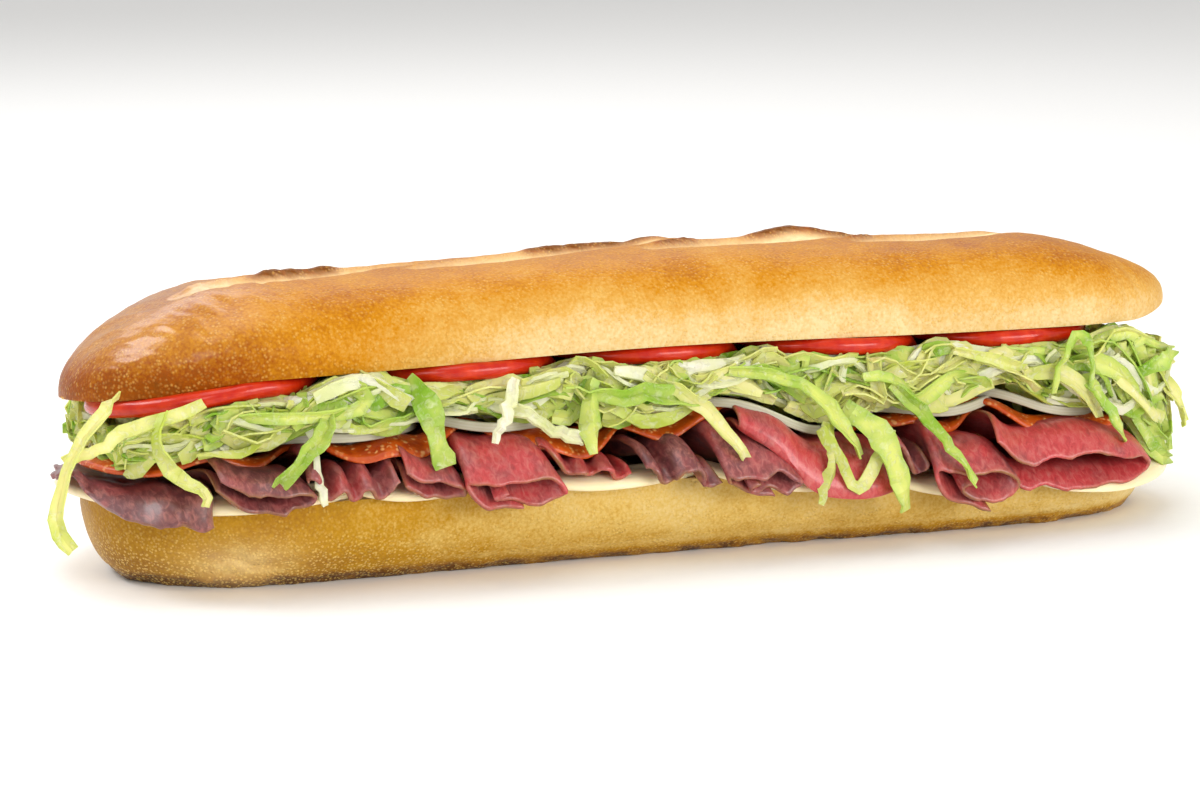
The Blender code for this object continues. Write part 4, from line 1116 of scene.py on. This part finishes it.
def lettuce_shaded_core(material):
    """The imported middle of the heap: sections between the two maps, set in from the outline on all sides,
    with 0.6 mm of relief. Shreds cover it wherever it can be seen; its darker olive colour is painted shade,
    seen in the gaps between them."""
    x = np.linspace(-132, 136, 110)[:, None]
    half = np.maximum(HALF_WIDTH * end_taper(x, PLAN_END) - 9, 3)
    shares = np.linspace(-1, 1, 26)[None, :]
    y = half * shares
    low, high = heap_limits(x + 0 * y, y)
    middle, room = (low + high) / 2, (high - low) / 2
    swell = room * 0.85 * (1 - np.abs(shares) ** 6) + 0.05
    rough = 0.6 * noise(x + 0 * y, y, 4, 201, 3)
    upper = np.stack(np.broadcast_arrays(x, y, middle + np.maximum(swell + rough, 0.05)), axis=-1)
    lower = np.stack(np.broadcast_arrays(x, y, middle - np.maximum(swell - rough, 0.05)), axis=-1)
    points, faces = skin(np.concatenate([lower, upper[:, ::-1]], axis=1))
    tint = 0.4 + 0.4 * noise(points[:, 0], points[:, 1], 6, 203, 2)
    make("lettuce_shaded_core", points, faces, [material], "lettuce", "lettuce", tint=tint, across=0 * tint)


def ribbons(paths, width, roll, cup, crispness, seed):
    """Middle surfaces of shreds, as (shred, along, across, xyz). Across each path lies a line of its width,
    turned about the path by roll, cupped as a parabola and crinkled by sines along its edges, by the
    crispness."""
    rng = np.random.default_rng(seed)
    tangent = np.gradient(paths, axis=1)
    tangent /= np.linalg.norm(tangent, axis=-1, keepdims=True) + 1e-9
    outward = paths * (0.15, 1, 0) + (0, 0, 8)
    outward /= np.linalg.norm(outward, axis=-1, keepdims=True)
    side = np.cross(tangent, outward)
    side /= np.linalg.norm(side, axis=-1, keepdims=True) + 1e-9
    facing = np.cross(side, tangent)
    turned = side * np.cos(roll)[..., None] + facing * np.sin(roll)[..., None]
    facing = facing * np.cos(roll)[..., None] - side * np.sin(roll)[..., None]
    across = np.linspace(-1, 1, 3)
    count, steps = paths.shape[:2]
    t = np.linspace(0, 1, steps)[None, :, None]
    phase, waves = rng.uniform(0, 6.3, (count, 1, 1)), rng.uniform(8, 20, (count, 1, 1))
    crinkle = crispness * across**2 * np.sin(waves * t + phase + 1.5 * np.sign(across))
    ends = 0.8 + 0.2 * np.sqrt(np.clip(1 - np.abs(2 * t - 1) ** 9, 0, 1))
    half = width[:, None, None] / 2 * ends * (1 + 0.18 * np.sin(waves * 0.6 * t - phase))
    lift = cup[:, None, None] * half * (across**2 - 0.4) + crinkle * half / 2.3
    sideways = turned[:, :, None] * (across * half)[..., None]
    return paths[:, :, None] + sideways + facing[:, :, None] * lift[..., None]


def heap_paths(count, rng, steps):
    """Paths of shreds lying in the heap. Each wanders over the plan with a slowly turning heading, is kept
    inside the outline, and keeps to a wavering share of the room between the two maps."""
    t = np.linspace(-0.5, 0.5, steps)[None, :]
    length = rng.uniform(20, 52, count)[:, None]
    at_end = rng.random(count) < 0.13
    at_tip = rng.choice([-1, 1], count) * rng.uniform(128, 151, count)
    along = np.where(at_end, at_tip, rng.uniform(-140, 140, count))
    front = rng.random(count) < 0.64
    inward = rng.uniform(-6.5, 9, count)
    edge = HALF_WIDTH * end_taper(along, PLAN_END)
    start_y = np.where(front, -1, 1) * (edge - inward)
    start_y = np.where(at_end, rng.uniform(-0.9, 0.9, count) * edge, start_y)
    heading = np.where(at_end, math.pi / 2, 0) + rng.normal(0, 0.5, count)
    heading = heading[:, None] + rng.normal(0, 1.3, count)[:, None] * t
    heading = heading + 0.5 * np.sin(9 * t + rng.uniform(0, 6, count)[:, None])
    mean = heading.mean(axis=1, keepdims=True)
    step = length / (steps - 1)
    x = along[:, None] + np.cumsum(np.cos(heading), axis=1) * step - 0.5 * length * np.cos(mean)
    y = start_y[:, None] + np.cumsum(np.sin(heading), axis=1) * step - 0.5 * length * np.sin(mean)
    x = np.clip(x, -147, 148)
    limit = HALF_WIDTH * end_taper(np.clip(x, -153, 153), PLAN_END) + 7
    y = limit * np.tanh(y / limit * 1.25) * 1.02
    low, high = heap_limits(x, y)
    level, pitch, phase = (rng.uniform(*ends, count)[:, None] for ends in ((0.03, 0.97), (4, 9), (0, 6)))
    share = level + 0.3 * np.sin(pitch * t + phase)
    share = np.clip(share + rng.normal(0, 0.5, count)[:, None] * t, 0.0, 1.0)
    z = low + SHRED_ROOM + share * (high - low - 1.5 * SHRED_ROOM)
    return np.stack([x, y, z], axis=-1)


def lettuce_heap(filling):
    """The core, dark with painted shade, and over it three joined meshes of shreds: green leaf, yellow heart
    and white rib. Shreds that lie in the heap come first, and then the loose ones that stand out from it."""
    leaf = lettuce_material("Lettuce leaf", linear("#E8EE86"), filling.leaf, linear("#F6F8D2"), 0.28)
    heart = lettuce_material("Lettuce heart", filling.heart, linear("#CBD858"), filling.rib, 0.26)
    rib = lettuce_material("Lettuce rib", filling.rib, linear("#E8ECB0"), linear("#FEFDF4"), 0.22)
    # The core's darker olive colours are painted shade, seen in the gaps between the shreds.
    shadow_core_tones = (linear("#B4BC44"), linear("#62861A"), linear("#CFD27E"))
    lettuce_shaded_core(lettuce_material("Lettuce in painted shade", *shadow_core_tones, 0.4))
    rng = np.random.default_rng(11)
    count = filling.shreds
    kind = rng.choice(3, count, p=KIND_SHARES)
    paths = heap_paths(count, rng, SHRED_STEPS)
    width = filling.shred_width / MM * rng.uniform(0.65, 1.35, count) * np.where(kind == 2, 0.7, 1)
    twist = rng.normal(0, 0.7, count)[:, None]
    roll = twist + rng.normal(0, 1.2, count)[:, None] * np.linspace(-0.5, 0.5, SHRED_STEPS)
    cup = rng.normal(0.1, 0.35, count)
    # Each shred's green is random, but the fall of 0.4 from left to right makes shreds at the right paler and
    # those at the left darker and greener: painted light and shade across the heap.
    tint = rng.uniform(0, 1, count) ** 1.3 + 0.15 - 0.4 * smooth_step(paths[:, 0, 0], -110, 160)
    loose = np.array([through(points, SHRED_STEPS) for *_, points in LOOSE_SHREDS])
    loose = loose + rng.normal(0, 0.3, loose.shape)
    loose_kind = [KINDS.index(name) for name, *_ in LOOSE_SHREDS]
    loose_width = [wide * LOOSE_NARROWING for _, wide, *_ in LOOSE_SHREDS]
    loose_twist = np.radians([turn for _, _, turn, _ in LOOSE_SHREDS])
    paths = np.concatenate([paths, loose])
    kind = np.concatenate([kind, loose_kind])
    width = np.concatenate([width, loose_width])
    roll = np.concatenate([roll, loose_twist[:, None] * np.linspace(-1, 1, SHRED_STEPS)])
    cup = np.concatenate([cup, rng.normal(0, 0.4, len(loose))])
    tint = np.concatenate([tint, rng.uniform(0, 0.9, len(loose))])
    for number, (name, material) in enumerate(zip(KINDS, (leaf, heart, rib))):
        chosen = kind == number
        lie = (paths[chosen], width[chosen], roll[chosen], cup[chosen])
        middle = ribbons(*lie, KIND_CRISPNESS[name], 300 + number)
        points, faces = shells(middle, KIND_THICKNESS[name])
        shape = middle.shape[:3]
        across = np.broadcast_to(np.abs(np.linspace(-1, 1, shape[2])), shape)
        own = tint[chosen][:, None, None]
        swing = 0.35 * np.sin(np.linspace(0, 5, shape[1])[None, :, None] + 9 * own)
        tints = np.broadcast_to(own + swing, shape)
        # The two sides of a shred share its values.
        fields = {"across": np.stack([across, across], axis=1), "tint": np.stack([tints, tints], axis=1)}
        make(f"lettuce_{name}_shreds", points, faces, [material], "lettuce", "lettuce", sharp=24, **fields)


# ---------------------------------------------------------------- stage


def aim(thing, place, target):
    """Puts a lamp or camera at a place, looking at a target."""
    thing.location = place
    thing.rotation_euler = (Vector(target) - Vector(place)).to_track_quat("-Z", "Y").to_euler()


def stage(settings):
    """A round floor that curves up as an arc into its own backdrop on all sides, soft lamps, and the
    camera."""
    bend = np.linspace(0.1, 1.4, 14)
    radius = np.concatenate([np.linspace(0.15, FLOOR_FLAT, 12), FLOOR_FLAT + FLOOR_CURVE * np.sin(bend)])
    rise = np.concatenate([np.zeros(12), FLOOR_CURVE * (1 - np.cos(bend))])
    turn = np.linspace(0, 2 * math.pi, FLOOR_SIDES, endpoint=False)
    rings = [radius[:, None] * np.cos(turn), radius[:, None] * np.sin(turn), rise[:, None] + 0 * turn]
    points = np.stack(rings, axis=-1).reshape(-1, 3)
    side = np.arange(FLOOR_SIDES)
    inner = np.stack([side, (side + 1) % FLOOR_SIDES, np.full(FLOOR_SIDES, len(points))], axis=1)
    points = np.concatenate([points, [(0, 0, 0)]])
    quads = grid_quads(len(radius), FLOOR_SIDES, True)[:, ::-1]
    mesh = bpy.data.meshes.new("floor")
    mesh.from_pydata(points.tolist(), [], quads.tolist() + inner.tolist())
    mesh.shade_smooth()
    floor = bpy.data.objects.new("floor", mesh)
    bpy.context.scene.collection.objects.link(floor)
    # Matt emulsion paint: even, with a hardly visible roller stipple about 3 mm apart.
    made, tree, shader = new_material("Matt floor paint", Roughness=0.7, Specular_IOR_Level=0.25)
    place = add(tree, "TexCoord", out="Object")
    stipple = add(tree, "TexNoise", {"Vector": place, "Scale": 1000 / 3, "Detail": 2})
    rolled = add(tree, "MapRange", {0: stipple, 1: 0.3, 2: 0.7, 3: 0, 4: 0.3})
    shade = add(tree, "Mix", {0: rolled, 6: settings.floor, 7: linear("#EFEEEC")}, out=2, data_type="RGBA")
    tree.links.new(shade, shader.inputs["Base Color"])
    bump = add(tree, "Bump", {"Height": stipple, "Strength": 0.08, "Distance": 0.1 * MM})
    tree.links.new(bump, shader.inputs["Normal"])
    mesh.materials.append(made)

    for k, (place, wide, deep, watts, colour) in enumerate(LAMPS):
        lamp = bpy.data.lights.new(f"softbox_{k + 1}", "AREA")
        lamp.shape = "RECTANGLE"
        lamp.size, lamp.size_y = wide, deep
        lamp.energy = watts * settings.brightness
        lamp.color = linear(colour)[:3]
        holder = bpy.data.objects.new(lamp.name, lamp)
        bpy.context.scene.collection.objects.link(holder)
        aim(holder, place, (0, 0, 0.04))
    world = bpy.data.worlds.new("studio")
    world.use_nodes = True
    sky = world.node_tree.nodes["Background"]
    sky.inputs["Color"].default_value = linear("#FFFFFF")
    sky.inputs["Strength"].default_value = SKY_STRENGTH * settings.brightness
    bpy.context.scene.world = world

    right = np.array([math.cos(CAMERA_AZIMUTH), math.sin(CAMERA_AZIMUTH), 0])
    level = np.array([math.sin(CAMERA_AZIMUTH), -math.cos(CAMERA_AZIMUTH), 0])
    back = level * math.cos(CAMERA_ELEVATION) + (0, 0, math.sin(CAMERA_ELEVATION))
    up = np.cross(back, right)
    target = CAMERA_TARGET + SHIFT
    lens = bpy.data.cameras.new("camera")
    lens.lens, lens.sensor_width, lens.sensor_fit = 123.75, 36, "HORIZONTAL"
    lens.clip_end = 20
    camera = bpy.data.objects.new("camera", lens)
    bpy.context.scene.collection.objects.link(camera)
    aim(camera, target + back * CAMERA_DISTANCE, target - right * 3.2 * MM + up * 1.33 * MM)
    bpy.context.scene.camera = camera
    bpy.context.scene.view_settings.view_transform = "Standard"


# ---------------------------------------------------------------- add-on


class SANDWICH_OT_crown(bpy.types.Operator):
    """Makes the slashed top half of the roll"""

    bl_idname = "sandwich.crown"
    bl_label = "Crown of the roll"
    bl_options = {"REGISTER", "UNDO"}

    def execute(self, context):
        bread_crown(context.scene.sandwich_roll)
        return {"FINISHED"}


class SANDWICH_OT_heel(bpy.types.Operator):
    """Makes the flat bottom half of the roll"""

    bl_idname = "sandwich.heel"
    bl_label = "Heel of the roll"
    bl_options = {"REGISTER", "UNDO"}

    def execute(self, context):
        bread_heel(context.scene.sandwich_roll)
        return {"FINISHED"}


class SANDWICH_OT_cheese(bpy.types.Operator):
    """Makes the round slices of cheese"""

    bl_idname = "sandwich.cheese"
    bl_label = "Cheese"
    bl_options = {"REGISTER", "UNDO"}

    def execute(self, context):
        cheese_slices(context.scene.sandwich_filling)
        return {"FINISHED"}


class SANDWICH_OT_beef(bpy.types.Operator):
    """Makes the folded slices of roast beef"""

    bl_idname = "sandwich.beef"
    bl_label = "Roast beef"
    bl_options = {"REGISTER", "UNDO"}

    def execute(self, context):
        beef_folds(context.scene.sandwich_filling)
        return {"FINISHED"}


class SANDWICH_OT_pepperoni(bpy.types.Operator):
    """Makes the slices of pepperoni"""

    bl_idname = "sandwich.pepperoni"
    bl_label = "Pepperoni"
    bl_options = {"REGISTER", "UNDO"}

    def execute(self, context):
        pepperoni_slices(context.scene.sandwich_filling)
        return {"FINISHED"}


class SANDWICH_OT_onion(bpy.types.Operator):
    """Makes the arcs of raw onion"""

    bl_idname = "sandwich.onion"
    bl_label = "Onion"
    bl_options = {"REGISTER", "UNDO"}

    def execute(self, context):
        onion_arcs(context.scene.sandwich_filling)
        return {"FINISHED"}


class SANDWICH_OT_tomato(bpy.types.Operator):
    """Makes the slices of tomato"""

    bl_idname = "sandwich.tomato"
    bl_label = "Tomato"
    bl_options = {"REGISTER", "UNDO"}

    def execute(self, context):
        tomato_slices(context.scene.sandwich_filling)
        return {"FINISHED"}


class SANDWICH_OT_lettuce(bpy.types.Operator):
    """Makes the heap of shredded lettuce"""

    bl_idname = "sandwich.lettuce"
    bl_label = "Lettuce"
    bl_options = {"REGISTER", "UNDO"}

    def execute(self, context):
        lettuce_heap(context.scene.sandwich_filling)
        return {"FINISHED"}


class SANDWICH_OT_stage(bpy.types.Operator):
    """Makes the floor, the lamps and the camera"""

    bl_idname = "sandwich.stage"
    bl_label = "Stage"
    bl_options = {"REGISTER", "UNDO"}

    def execute(self, context):
        stage(context.scene.sandwich_stage)
        return {"FINISHED"}


OPERATORS = (
    SANDWICH_OT_crown,
    SANDWICH_OT_heel,
    SANDWICH_OT_cheese,
    SANDWICH_OT_beef,
    SANDWICH_OT_pepperoni,
    SANDWICH_OT_onion,
    SANDWICH_OT_tomato,
    SANDWICH_OT_lettuce,
    SANDWICH_OT_stage,
)
SETTINGS = {
    "sandwich_roll": RollSettings,
    "sandwich_filling": FillingSettings,
    "sandwich_stage": StageSettings,
}


class SANDWICH_PT_sidebar(bpy.types.Panel):
    """Lists the pieces of the sandwich and their settings"""

    bl_label = "Submarine Sandwich"
    bl_idname = "SANDWICH_PT_sidebar"
    bl_space_type = "VIEW_3D"
    bl_region_type = "UI"
    bl_category = "Sandwich"

    def draw(self, context):
        for operator in OPERATORS:
            self.layout.operator(operator.bl_idname)
        for name, group in SETTINGS.items():
            column = self.layout.column()
            for key in group.__annotations__:
                column.prop(getattr(context.scene, name), key)


def register():
    """Adds the settings, the operators and the panel."""
    for group in SETTINGS.values():
        bpy.utils.register_class(group)
    for name, group in SETTINGS.items():
        setattr(bpy.types.Scene, name, bpy.props.PointerProperty(type=group))
    for operator in OPERATORS:
        bpy.utils.register_class(operator)
    bpy.utils.register_class(SANDWICH_PT_sidebar)


def unregister():
    """Takes away what register adds, in the opposite order."""
    bpy.utils.unregister_class(SANDWICH_PT_sidebar)
    for operator in reversed(OPERATORS):
        bpy.utils.unregister_class(operator)
    for name, group in SETTINGS.items():
        delattr(bpy.types.Scene, name)
        bpy.utils.unregister_class(group)


def main():
    """Makes every piece and the stage."""
    register()
    for operator in OPERATORS:
        group, name = operator.bl_idname.split(".")
        getattr(getattr(bpy.ops, group), name)()


if __name__ == "__main__":
    main()
